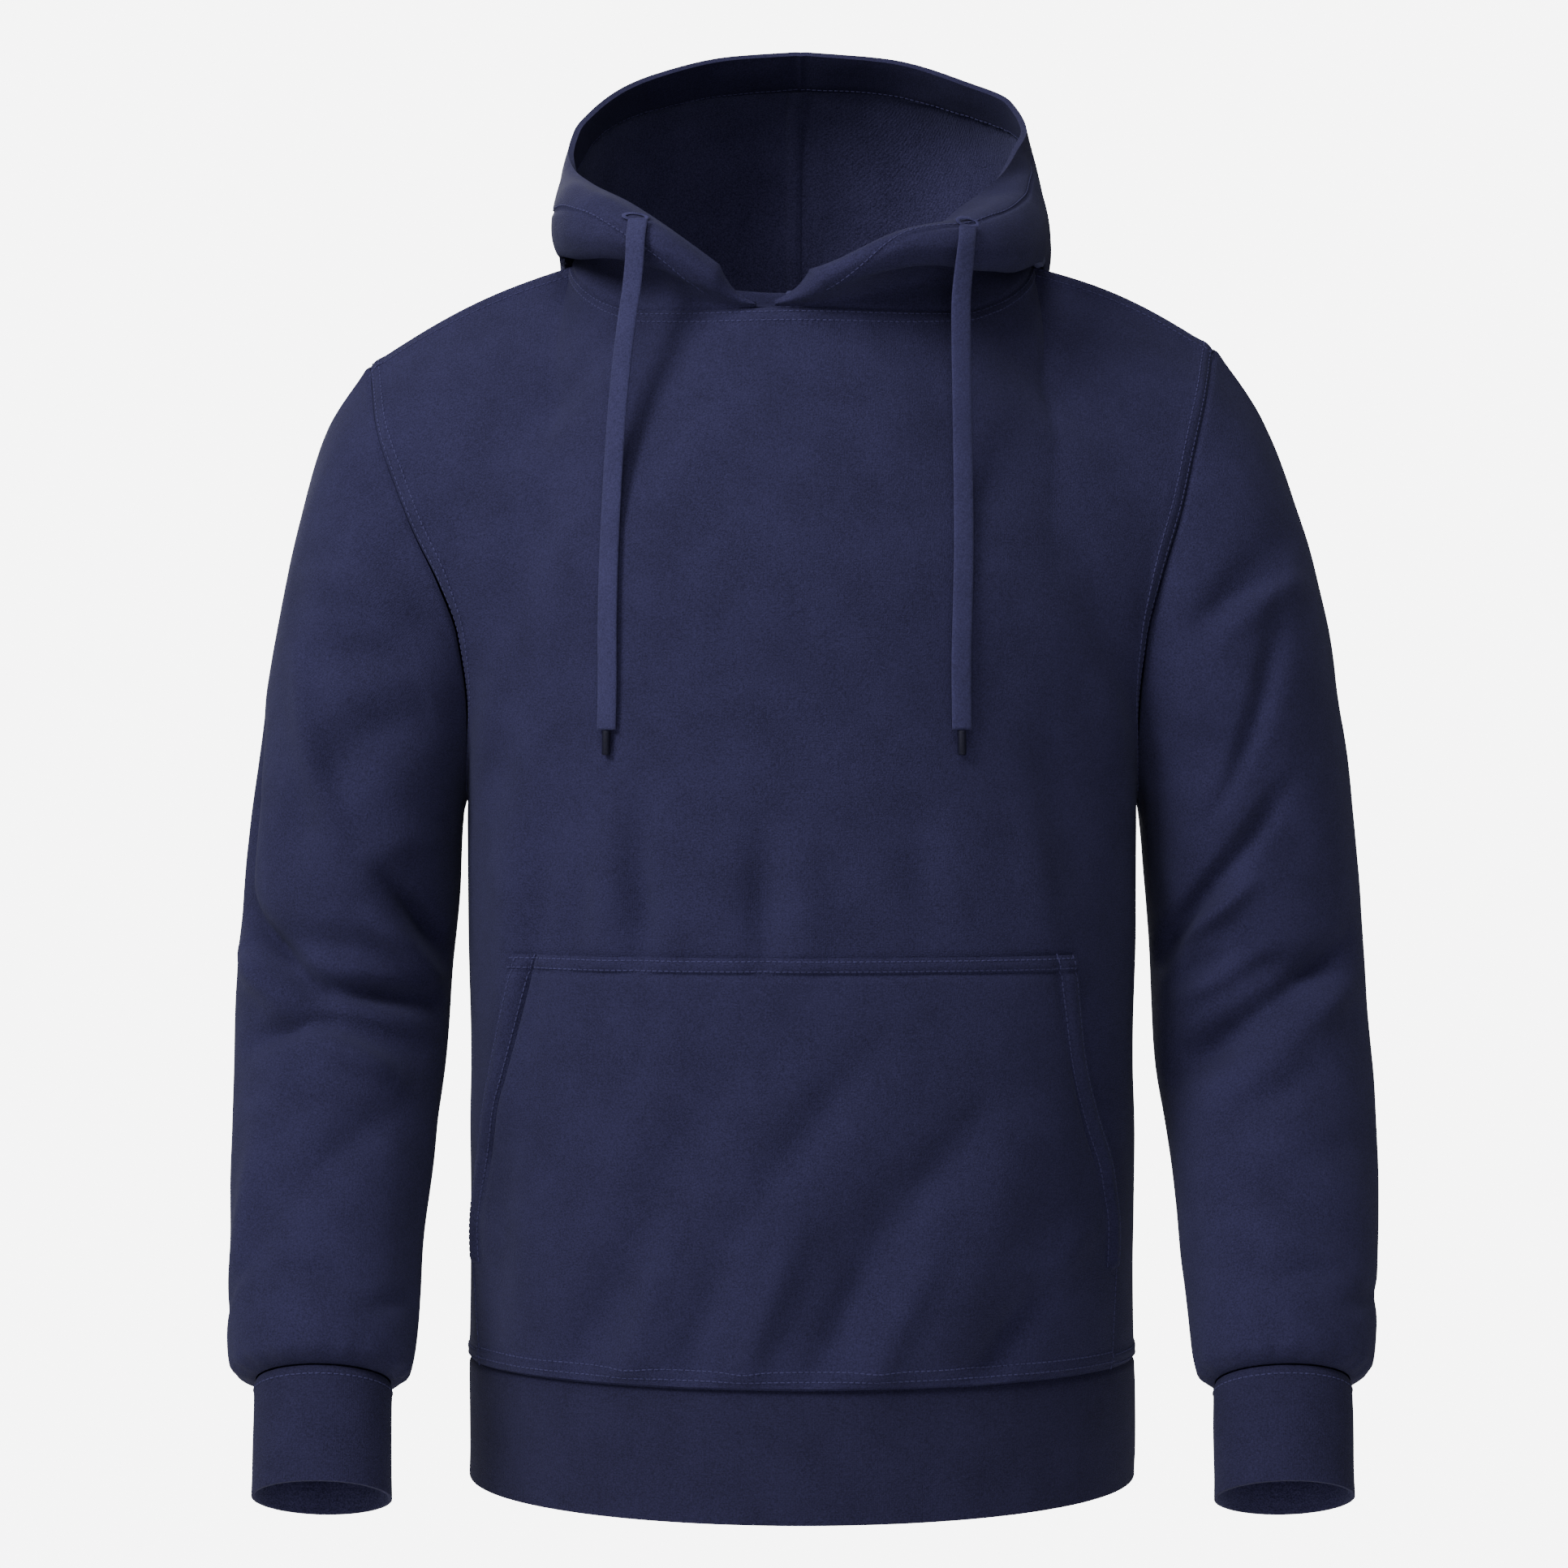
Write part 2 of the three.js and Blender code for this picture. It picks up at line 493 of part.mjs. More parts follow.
function cuffPoint(side, down, share) {
  const start = sleeveRing(side, 1, share);
  const lean = radians(WRIST_LEAN);
  const along = vec(0, -Math.sin(lean), -Math.cos(lean)).multiplyScalar(CUFF_LENGTH * down);
  along.x = -SIDES[side] * CUFF_SHIFT_IN * down;
  return start.add(along);
}

function hemPoint(up, turn) {
  const edge = HEM_EDGE_Z - HEM_DROP * Math.sqrt(Math.abs(Math.cos(radians(turn))));
  return roundPoint(0, turn).setZ(THREE.MathUtils.lerp(edge, HEM_SEAM_Z, up));
}

// The hood on one side: share runs along the neck seam from the front corner, climb from the seam to the rim
const HOOD_SPANS = 7;
const RIM_PULL = 7;
const HOOD_POINTS = ["rise", "roll", "fold", "low", "mid", "high"];
const hoodCurves = Object.fromEntries(HOOD_POINTS.map((name) => {
  const flat = HOOD_SECTIONS.map((row) => ({
    share: row.share,
    x: row[name][0],
    y: row[name][1],
    z: row[name][2],
  }));
  return [name, curvesOf(flat, "share")];
}));
function hoodTurn(side, share) {
  return side === "left"
    ? THREE.MathUtils.lerp(V_LEFT_TURN, 180, share)
    : THREE.MathUtils.lerp(V_RIGHT_TURN, -180, share);
}
function hoodPoint(side, climb, turn) {
  const sign = SIDES[side];
  const share = clamp((turn - hoodTurn(side, 0)) / (hoodTurn(side, 1) - hoodTurn(side, 0)), 0, 1);
  const seam = neckPoint(turn);
  const model = vec(-sign * rim.right.x(share), rim.right.y(share), rim.right.z(share));
  const edge = vec(rim[side].x(share), rim[side].y(share), rim[side].z(share));
  const seamShift = seam.clone().sub(neckPoint(-sign * hoodTurn("right", share)));
  const edgeShift = edge.clone().sub(model);
  const path = HOOD_POINTS.map((name, i) => {
    const curve = hoodCurves[name];
    const shift = seamShift.clone().lerp(edgeShift, ((i + 1) / HOOD_SPANS) ** RIM_PULL);
    return vec(sign * curve.x(share), curve.y(share), curve.z(share)).add(shift);
  });
  const line = new THREE.CatmullRomCurve3([seam, ...path, edge], false, "centripetal");
  return line.getPoint(climb);
}

// The pocket lies on the front panel: place runs -1 to 1 across, climb from the hem seam to the top edge
function pocketPoint(climb, place) {
  const z = THREE.MathUtils.lerp(HEM_SEAM_Z + 2, POCKET_TOP_Z, climb);
  const turn = THREE.MathUtils.lerp(pocketEdge.right(z), pocketEdge.left(z), (place + 1) / 2);
  const column = ((turn + 90) / 180) * BODY_COLUMNS;
  const way = (z - HEM_SEAM_Z) / (ARMPIT_Z - HEM_SEAM_Z);
  const swell = 1.6 * Math.cos((Math.PI / 2) * place) * Math.sin(Math.PI * climb);
  const outward = vec(Math.sin(radians(turn)), -Math.cos(radians(turn)), 0);
  return panelPoint("front", way, column).addScaledVector(outward, WALL + POCKET_STANDOFF + swell);
}

// A cloth piece as rows of points on its outer face; facing is 1 where column direction crossed with row
// direction points out of the garment, -1 where it points in, and tube joins the last column to the first
function clothGrid(name, rowPlaces, columnPlaces, pointAt, { facing = 1, tube = false } = {}) {
  const rows = rowPlaces.map((row) => columnPlaces.map((column) => pointAt(row, column)));
  return { name, rows, facing, tube };
}

const steps = (count, from = 0, to = 1) =>
  Array.from({ length: count + 1 }, (_, i) => THREE.MathUtils.lerp(from, to, i / count));

const bodyWays = [...steps(BODY_ROWS_BELOW, 0, 1), ...steps(BODY_ROWS_ABOVE, 1, 2).slice(1)];
const bodyColumns = steps(BODY_COLUMNS, 0, BODY_COLUMNS);
const ringShares = steps(2 * BODY_ROWS_ABOVE).slice(0, -1);
const hemTurns = steps(2 * BODY_COLUMNS, -90, 270).slice(0, -1);
const hoodClimbs = steps(HOOD_SPANS * HOOD_ROWS_PER_SPAN);

// The neck seam's columns on one side, shared by the body panels and the hood
function neckTurns(side) {
  const front = side === "left"
    ? steps(NECK_COLUMNS_LEFT, V_LEFT_TURN, 90)
    : steps(NECK_COLUMNS_RIGHT, V_RIGHT_TURN, -90);
  const half = (BODY_COLUMNS - 2 * SHOULDER_COLUMNS) / 2;
  const back = side === "left" ? steps(half, 90, 180) : steps(half, -90, -180);
  return [...front, ...back.slice(1)];
}

const grids = [
  clothGrid("front_body", bodyWays, bodyColumns, (way, column) => panelPoint("front", way, column)),
  clothGrid("back_body", bodyWays, bodyColumns, (way, column) => panelPoint("back", way, column)),
  clothGrid("hem_band", steps(HEM_ROWS), hemTurns, hemPoint, { tube: true }),
];
for (const [side, sign] of Object.entries(SIDES)) {
  const round = { facing: -sign, tube: true };
  grids.push(
    clothGrid(`${side}_sleeve`, SLEEVE_WAYS, ringShares, (way, share) => sleevePoint(side, way, share), round),
    clothGrid(`${side}_cuff`, steps(CUFF_ROWS), ringShares, (down, share) => cuffPoint(side, down, share), round),
    clothGrid(`hood_${side}`, hoodClimbs, neckTurns(side), (climb, turn) => hoodPoint(side, climb, turn), {
      facing: sign,
    }),
  );
}
const pocketGrid = clothGrid("pocket", steps(POCKET_ROWS), steps(POCKET_COLUMNS, -1, 1), pocketPoint);

// Outward direction at each point, shared where pieces meet so that their walls meet edge to edge
const keyOf = (point) => point.toArray().map((value) => Math.round(value * 100)).join();
function shareNormals(gridList) {
  const book = new Map();
  for (const { rows, facing, tube } of gridList) {
    const count = rows[0].length;
    const lastColumn = tube ? count : count - 1;
    for (let r = 0; r < rows.length - 1; r++) {
      for (let c = 0; c < lastColumn; c++) {
        const next = (c + 1) % count;
        const corners = [rows[r][c], rows[r][next], rows[r + 1][next], rows[r + 1][c]];
        const across = corners[1].clone().add(corners[2]).sub(corners[0]).sub(corners[3]);
        const up = corners[2].clone().add(corners[3]).sub(corners[0]).sub(corners[1]);
        const normal = across.cross(up).normalize().multiplyScalar(facing);
        for (const corner of corners) {
          const key = keyOf(corner);
          if (!book.has(key)) book.set(key, vec(0, 0, 0));
          book.get(key).add(normal);
        }
      }
    }
  }
  for (const normal of book.values()) normal.normalize();
  return book;
}

// The closed wall of a grid: outer face, inner face and the edges between them
// Where two pieces lie folded against each other, as at the armpit, each wall keeps its own direction
const LEAST_AGREEMENT = 0.6;
function clothWall(grid, book, thicknessAt) {
  const { rows, facing, tube } = grid;
  const own = shareNormals([grid]);
  const height = rows.length;
  const count = rows[0].length;
  const pull = SEAM_GAP / 2;
  const positions = [];
  const inside = [];
  rows.forEach((row, r) => row.forEach((point, c) => {
    const shared = book.get(keyOf(point));
    const alone = own.get(keyOf(point));
    const normal = shared.dot(alone) > LEAST_AGREEMENT ? shared : alone;
    const moved = point.clone();
    const towards = (other) => moved.addScaledVector(other.clone().sub(point).normalize(), pull);
    if (r === 0) towards(rows[1][c]);
    if (r === height - 1) towards(rows[height - 2][c]);
    if (!tube && c === 0) towards(row[1]);
    if (!tube && c === count - 1) towards(row[count - 2]);
    positions.push(...moved.toArray());
    inside.push(...moved.addScaledVector(normal, -thicknessAt(r / (height - 1))).toArray());
  }));
  const offset = height * count;
  const index = [];
  const quad = (a, b, c, d) => (facing > 0 ? index.push(a, b, c, a, c, d) : index.push(a, c, b, a, d, c));
  const lastColumn = tube ? count : count - 1;
  const at = (r, c) => r * count + (c % count);
  for (let r = 0; r < height - 1; r++) {
    for (let c = 0; c < lastColumn; c++) {
      const [a, b, d, e] = [at(r, c), at(r, c + 1), at(r + 1, c + 1), at(r + 1, c)];
      quad(a, b, d, e);
      quad(a + offset, e + offset, d + offset, b + offset);
    }
  }
  for (let c = 0; c < lastColumn; c++) {
    quad(at(0, c), at(0, c) + offset, at(0, c + 1) + offset, at(0, c + 1));
    quad(at(height - 1, c), at(height - 1, c + 1), at(height - 1, c + 1) + offset, at(height - 1, c) + offset);
  }
  if (!tube) {
    for (let r = 0; r < height - 1; r++) {
      quad(at(r, 0), at(r + 1, 0), at(r + 1, 0) + offset, at(r, 0) + offset);
      quad(at(r, count - 1), at(r, count - 1) + offset, at(r + 1, count - 1) + offset, at(r + 1, count - 1));
    }
  }
  const geometry = new THREE.BufferGeometry();
  geometry.setAttribute("position", new THREE.Float32BufferAttribute([...positions, ...inside], 3));
  geometry.setIndex(index);
  return geometry;
}

const plainWall = () => WALL;
const CASING_START = 0.88;
const hoodWall = (climb) => WALL + (CASING_WALL - WALL) * easeIn((climb - CASING_START) / 0.04);

const hoodie = new THREE.Group();
function addPiece(name, geometry, material) {
  geometry.computeVertexNormals();
  const piece = new THREE.Mesh(geometry, material);
  piece.name = name;
  hoodie.add(piece);
}

const book = shareNormals(grids);
for (const grid of grids) {
  const isHood = grid.name.startsWith("hood");
  const isRib = grid.name.endsWith("cuff") || grid.name === "hem_band";
  addPiece(grid.name, clothWall(grid, book, isHood ? hoodWall : plainWall), isRib ? RIB : FABRIC);
}
addPiece("pocket", clothWall(pocketGrid, shareNormals([pocketGrid]), plainWall), FABRIC);

// A flat braid: rings of points along the route, each turned by its slant, closed at both ends
function braidGeometry(route) {
  const ways = route.map((stop, i) => ({ ...stop, at: i / (route.length - 1) }));
  const line = new THREE.CatmullRomCurve3(ways.map(({ x, y, z }) => vec(x, y, z)), false, "centripetal");
  const slant = through(ways, "at", "slant");
  const positions = [];
  for (const share of steps(CORD_STEPS)) {
    const middle = line.getPoint(share);
    const along = line.getTangent(share);
    const angle = radians(slant(share));
    const side = vec(Math.cos(angle), Math.sin(angle), 0);
    const out = side.clone().cross(along).normalize();
    for (const part of steps(CORD_SIDES).slice(0, -1)) {
      const turn = 2 * Math.PI * part;
      const point = middle.clone().addScaledVector(side, (CORD_WIDTH / 2) * Math.cos(turn));
      positions.push(...point.addScaledVector(out, (CORD_THICK / 2) * Math.sin(turn)).toArray());
    }
  }
  const index = [];
  for (let r = 0; r < CORD_STEPS; r++) {
    for (let c = 0; c < CORD_SIDES; c++) {
      const [a, b] = [r * CORD_SIDES + c, r * CORD_SIDES + ((c + 1) % CORD_SIDES)];
      index.push(a, a + CORD_SIDES, b, b, a + CORD_SIDES, b + CORD_SIDES);
    }
  }
  const last = CORD_STEPS * CORD_SIDES;
  for (let c = 1; c < CORD_SIDES - 1; c++) {
    index.push(0, c, c + 1, last, last + c + 1, last + c);
  }
  const geometry = new THREE.BufferGeometry();
  geometry.setAttribute("position", new THREE.Float32BufferAttribute(positions, 3));
  geometry.setIndex(index);
  return geometry;
}

// Each drawstring hangs along its route, and its bound tip carries on below it
for (const side of Object.keys(SIDES)) {
  addPiece(`drawstring_${side}`, braidGeometry(CORD_ROUTE[side]), BRAID);
  const [before, end] = CORD_ROUTE[side].slice(-2).map(({ x, y, z }) => vec(x, y, z));
  const along = end.clone().sub(before).normalize();
  const tip = new THREE.CylinderGeometry(TIP_RADIUS, TIP_RADIUS, TIP_LENGTH, 10);
  tip.applyQuaternion(new THREE.Quaternion().setFromUnitVectors(vec(0, 1, 0), along));
  tip.translate(...end.addScaledVector(along, SEAM_GAP + TIP_LENGTH / 2).toArray());
  addPiece(`drawstring_tip_${side}`, tip, TIP);
}

export default hoodie;
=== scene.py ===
"""Pullover hoodie in navy fleece-backed jersey, filled out as worn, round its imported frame."""
import math

import bpy
import numpy as np
from mathutils import Matrix, Vector, noise


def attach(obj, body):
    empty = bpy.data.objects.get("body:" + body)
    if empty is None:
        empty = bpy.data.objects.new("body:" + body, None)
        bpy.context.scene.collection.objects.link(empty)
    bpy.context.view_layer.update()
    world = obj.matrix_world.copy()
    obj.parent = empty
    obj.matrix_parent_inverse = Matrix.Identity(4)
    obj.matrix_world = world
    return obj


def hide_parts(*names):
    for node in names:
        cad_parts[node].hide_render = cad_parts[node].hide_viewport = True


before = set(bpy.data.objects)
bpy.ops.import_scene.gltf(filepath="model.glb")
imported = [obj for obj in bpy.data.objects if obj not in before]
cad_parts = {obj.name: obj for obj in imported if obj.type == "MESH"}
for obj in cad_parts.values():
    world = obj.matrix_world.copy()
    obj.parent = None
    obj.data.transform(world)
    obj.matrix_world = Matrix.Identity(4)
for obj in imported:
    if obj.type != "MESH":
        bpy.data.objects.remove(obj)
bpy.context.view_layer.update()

MM = 0.001

# Cloth and sewing, in millimetres
WALL = 1.7
CASING_WALL = 3.4
CASING_WIDE = 28.5
SEAM_PULL = -0.22
SEAM_GROOVE = 1.5
STITCH_DENT = 0.9
STITCH_STEP = 3.3
STITCH_LONG = 2.5
STITCH_WIDE = 0.75
STITCH_HIGH = 0.55
TWIN_NEAR = 3.2
TWIN_FAR = 8.6
CORD_WIDTH = 11
CORD_THICK = 2.8
TIP_LENGTH = 13
TIP_RADIUS = 2.2

# Body lines, as in the solids
HEM_EDGE_Z = -665
HEM_DROP = 7.5
HEM_SEAM_Z = -602
ARMPIT_Z = -292
NECK_HALF_WIDTH = 130
NECK_SIDE_Y = 8
NECK_FRONT_DEPTH = 96
NECK_BACK_DEPTH = 72
V_TURN = {"right": -11.2, "left": -6.5}
CUFF_LENGTH = 62
CUFF_SHIFT_IN = 3
CUFF_HALF_DEPTH = 31
WRIST_LEAN = 28
YOKE_START = 1.35
SHOULDER_ARCH = 6
SLEEVE_BLEND = 0.34
ARM_LENGTH = 600
RIM_PULL = 7
V_END = 0.3
V_POINT = (-20, -89, -24)
V_WALL_SHARE = 0.3
V_WALL_REACH = 24
# Painted shade: the back of the hood's neck seam gets the darker outside cloth here, as a neck tape, to
# darken this deep part of the hood
NECK_SHADE_TAPE_Y = (40, 100)
NECK_SHADE_TAPE_TOP_Z = 8
V_TAPER = 0.08
POCKET_TOP_Z = -374
POCKET_STANDOFF = 1.1
SIDES = {"left": 1, "right": -1}

# Shares of a body panel's top edge: shoulder seam, neck seam, shoulder seam
PANEL_COLUMNS = 26
FRONT_STOPS = [(5, -90), (12, V_TURN["right"]), (13, V_TURN["left"]), (21, 90)]
BACK_STOPS = [(5, 90), (21, 270)]

GIRTH = {
    "way": [0.0, 0.2, 0.5, 0.8, 1.0],
    "wide": [186, 185, 185, 187, 187.5],
    "front": [125, 128, 131, 132, 130],
    "back": [114, 119, 125, 128, 128],
    "square": [2.0, 2.1, 2.2, 2.2, 2.1],
}
ARMHOLE = {
    "right": {
        "way": [1.0, 1.1, 1.2, 1.4, 1.55, 1.7, 1.8, 1.9, 2.0],
        "x": [-187.5, -184, -183.5, -188, -198, -213, -224, -235.5, -243.5],
        "front": [0, -27, -42, -58, -62, -58, -50, -35, 2],
        "back": [0, 28, 46, 68, 74, 65, 53, 35, 2],
        "z": [ARMPIT_Z, -266, -243, -203, -175, -144, -118, -87, -48],
    },
    "left": {
        "way": [1.0, 1.1, 1.2, 1.4, 1.55, 1.7, 1.8, 1.9, 2.0],
        "x": [187.5, 184.5, 184.5, 188, 196, 207, 215, 224, 232],
        "front": [0, -27, -41, -58, -62, -58, -48, -31, 2],
        "back": [0, 28, 46, 68, 74, 64, 50, 31, 2],
        "z": [ARMPIT_Z, -267, -245, -204, -171, -135, -103, -70, -38],
    },
}
CENTRE = {
    "front": {
        "way": [1, 1.4, 1.7, 2],
        "y": [-130, -127, -111, -88],
        "z": [ARMPIT_Z, -190, -108, -26.5],
        "turn": [90, 68, 58, 50],
    },
    "back": {
        "way": [1, 1.4, 1.7, 2],
        "y": [128, 121, 103, 80],
        "z": [ARMPIT_Z, -172, -76, -8],
        "turn": [90, 66, 56, 50],
    },
}
NECK_RISE = {
    "turn": [0, 22, 42, 55, 65, 75, 90, 120, 150, 180],
    "z": [-26.5, -27, -25.5, -18.4, -10.5, -1.6, 9, 9, -3, -8],
}
SLEEVE = {
    "way": [0, 0.08, 0.18, 0.28, 0.38, 0.48, 0.57, 0.66, 0.75, 0.83, 0.91, 0.965, 0.985, 1],
    "out_x": [238, 263, 281, 293, 301, 308.5, 313.5, 315.5, 315, 312.5, 309, 306.5, 304, 291.5],
    "out_z": [-43, -81, -134, -186, -238, -293, -349, -404, -462, -508, -552, -583, -594, -601],
    "in_x": [187.5, 189.8, 190.2, 190.8, 191.8, 193.6, 196.4, 198.6, 202, 205, 206.5, 207.5, 209.5, 218],
    "in_z": [ARMPIT_Z, -302, -312, -322, -336, -357, -389, -428, -473, -514, -556, -584, -595, -601],
    "y": [6, 6, 6, 6, 6, 7, 6, -3, -27, -52, -77, -95, -101, -105],
    "depth": [67, 73, 76, 76, 73, 69, 64, 59, 53, 49, 46, 43, 40, CUFF_HALF_DEPTH],
    "lean": [0, 0, 0, 0, 0, 0, 2, 9, 20, 26, WRIST_LEAN, WRIST_LEAN, WRIST_LEAN, WRIST_LEAN],
}
# Hood section, from the neck seam to the rim: rise, roll, fold, low, mid and high points at each share
HOOD_SHARES = [0, 0.08, 0.16, 0.25, 0.36, 0.447, 0.52, 0.59, 0.66, 0.73, 0.8, 0.905, 1]
HOOD_POINTS = {
    "rise": [
        (25.5, -87.5, -25), (54, -79, -23), (80, -63, -13), (100, -42, -1), (117, -14, 17),
        (121, 5, 26), (119, 19, 29), (113, 36, 31), (103, 52, 28), (90, 64, 20), (71, 74, 13),
        (38, 83, 4), (0, 87, 2),
    ],
    "roll": [
        (26, -88.5, -24), (51, -87, -20), (77, -76, -5), (98, -56, 9), (117, -28, 24), (127, 0, 31),
        (126, 21, 32), (121, 42, 29), (112, 62, 19), (101, 78, 2), (82, 89, -12), (45, 100, -27),
        (0, 103, -34),
    ],
    "fold": [
        (26.5, -90, -23), (48, -95, -18.5), (74, -93, -8), (101, -80, 0), (123, -46, 5), (135, -8, 12),
        (135, 24, 12), (134, 52, 0), (125, 78, -26), (113, 98, -54), (94, 116, -86), (53, 134, -130),
        (0, 141, -148),
    ],
    "low": [
        (26.5, -90.5, -22), (47, -98.5, -14), (73, -101, 0), (103, -91, 8), (129, -56, 14),
        (139.3, -10, 22), (139.5, 24, 22), (138.5, 58, 13), (133, 90, -8), (122, 118, -36),
        (103, 144, -70), (57, 174, -118), (0, 188, -136),
    ],
    "mid": [
        (26.5, -90.5, -21), (46, -98, -10), (71, -100, 7), (101, -89, 20), (128, -56, 31),
        (138.5, -11, 42), (139, 23, 44), (137, 58, 44), (133, 95, 40), (124, 130, 28), (107, 160, 10),
        (60, 196, -8), (0, 210, -14),
    ],
    "high": [
        (26.2, -90, -20), (45, -95.5, -7.5), (69.5, -95, 11), (97, -81, 28), (122, -49, 44),
        (134, -11, 55), (136, 19, 64), (133, 50, 74), (127, 82, 84), (117, 111, 92), (100, 137, 94),
        (54, 163, 98), (0, 172, 100),
    ],
}
RIM = {
    "right": [
        (-26.5, -89, -19), (-44.3, -92, -5), (-68, -88, 13), (-92, -72, 31), (-115.7, -40, 47.5),
        (-127.7, -10, 61), (-132, 15, 75.5), (-130, 40, 91), (-120.5, 62, 107.5), (-104, 80, 123.5),
        (-83.5, 93, 134.5), (-44, 104, 146), (0, 108, 150),
    ],
    "left": [
        (-14.8, -88.5, -15), (4, -92, -7), (30, -94, -2), (61, -86, 8.5), (84, -66, 29),
        (99, -44, 42.5), (111.5, -24, 56), (120.5, 0, 72), (128, 28, 90), (121, 66, 113),
        (97, 87, 128), (52, 103, 144.5), (0, 108, 150),
    ],
}
POCKET_EDGES = {
    "z": [-600, -560, -532, -495, -465, -430, -374],
    "right": [-71, -75, -77, -72, -66, -60, -53],
    "left": [64, 65.5, 66.5, 64.5, 59.5, 54, 48.5],
}

# Folds of the body: start x, start z, end x, end z, half width, lift out of the cloth
FOLDS = {
    "front": [
        (-48, -505, -104, -590, 17, -4.5), (0, -475, -78, -598, 20, 4), (72, -446, -10, -590, 18, -4),
        (110, -480, 64, -596, 18, 4), (-146, -280, -160, -350, 16, 5), (-88, -330, -84, -372, 12, -4),
        (-24, -318, -22, -372, 12, -3.5), (150, -130, 176, -240, 16, -4), (-150, -120, -168, -230, 16, -4),
    ],
    "back": [
        (-60, -470, -120, -580, 20, -4), (40, -430, -30, -560, 22, 4), (120, -400, 60, -540, 20, -4),
        (150, -140, 165, -250, 18, -5), (-150, -140, -165, -250, 18, -5),
    ],
}
# Finer creases that only the cloth itself shows
CREASES = {
    "front": [
        (30, -430, -34, -516, 13, -3.6), (-34, -516, -66, -600, 11, -4.6), (-44, -440, -92, -530, 15, -3.2),
        (-92, -530, -124, -600, 12, -3.6), (-66, -520, -94, -598, 9, 3.4), (-4, -520, -34, -600, 9, 3.8),
        (96, -456, 44, -520, 13, -3.6), (44, -520, 4, -600, 11, -4.4), (66, -530, 34, -600, 9, 3.2),
        (134, -540, 92, -602, 11, -5), (150, -520, 122, -556, 11, 3.6), (-150, -330, -164, -470, 12, 3.4),
        (-136, -300, -152, -440, 10, -3.2), (-116, -330, -126, -372, 9, -2.4),
        (-90, -300, -86, -374, 7, -3.6),
        (-22, -316, -20, -374, 7, -3.4), (-106, -306, -104, -374, 9, 2), (0, -320, 2, -374, 9, 1.8),
        (60, -300, 66, -372, 11, -2.0), (118, -290, 130, -374, 12, 2.4), (-150, -250, -128, -300, 12, 3),
        (128, -250, 152, -330, 13, -2.6), (-50, -80, -70, -150, 15, 1.8), (60, -60, 98, -120, 14, -2),
        (-110, -50, -156, -96, 13, -2.6), (110, -40, 156, -84, 13, -2.6), (-126, -90, -164, -140, 12, 2.2),
        (130, -84, 166, -134, 12, 2.2), (-165, -215, -174, -290, 10, 2.8), (164, -220, 174, -292, 10, 2.8),
        (152, -400, 160, -500, 12, -2.6), (-160, -480, -168, -590, 11, -2.6),
    ],
    "back": [
        (-100, -120, -146, -196, 15, -3.4), (100, -120, 148, -196, 15, -3.4),
        (-76, -110, -112, -180, 14, 2.6),
        (78, -110, 114, -180, 14, 2.6), (0, -190, 12, -290, 20, 2.4), (-40, -210, -50, -300, 16, -2.2),
        (-80, -300, -116, -420, 16, -3.2), (70, -320, 100, -430, 16, 3), (30, -330, 46, -440, 15, -2.8),
        (-20, -500, -66, -600, 12, -4), (-54, -500, -100, -600, 11, 3.2), (84, -520, 52, -602, 12, 3.2),
        (110, -500, 84, -602, 11, -3.6), (-140, -480, -152, -600, 12, 3), (150, -440, 156, -600, 12, -3.2),
        (0, -450, -10, -540, 14, 2.6),
    ],
}
# Folds of a sleeve: start turn and way, end turn and way, half width, lift
SLEEVE_FOLDS = {
    "right": [
        (62, 0.12, 118, 0.5, 15, -6), (40, 0.3, 84, 0.5, 13, 4), (50, 0.56, 140, 0.6, 12, -5),
        (40, 0.68, 130, 0.66, 11, -5), (60, 0.78, 150, 0.74, 11, -3.5), (230, 0.2, 280, 0.5, 17, -5),
        (210, 0.62, 300, 0.68, 13, -4),
    ],
    "left": [
        (96, 0.06, 150, 0.17, 11, -4.5), (60, 0.16, 112, 0.48, 15, -5), (46, 0.58, 136, 0.63, 12, -4.5),
        (50, 0.7, 136, 0.67, 11, -4.5), (70, 0.84, 150, 0.79, 11, -3), (235, 0.18, 285, 0.48, 17, -5),
        (215, 0.64, 300, 0.69, 13, -4),
    ],
}
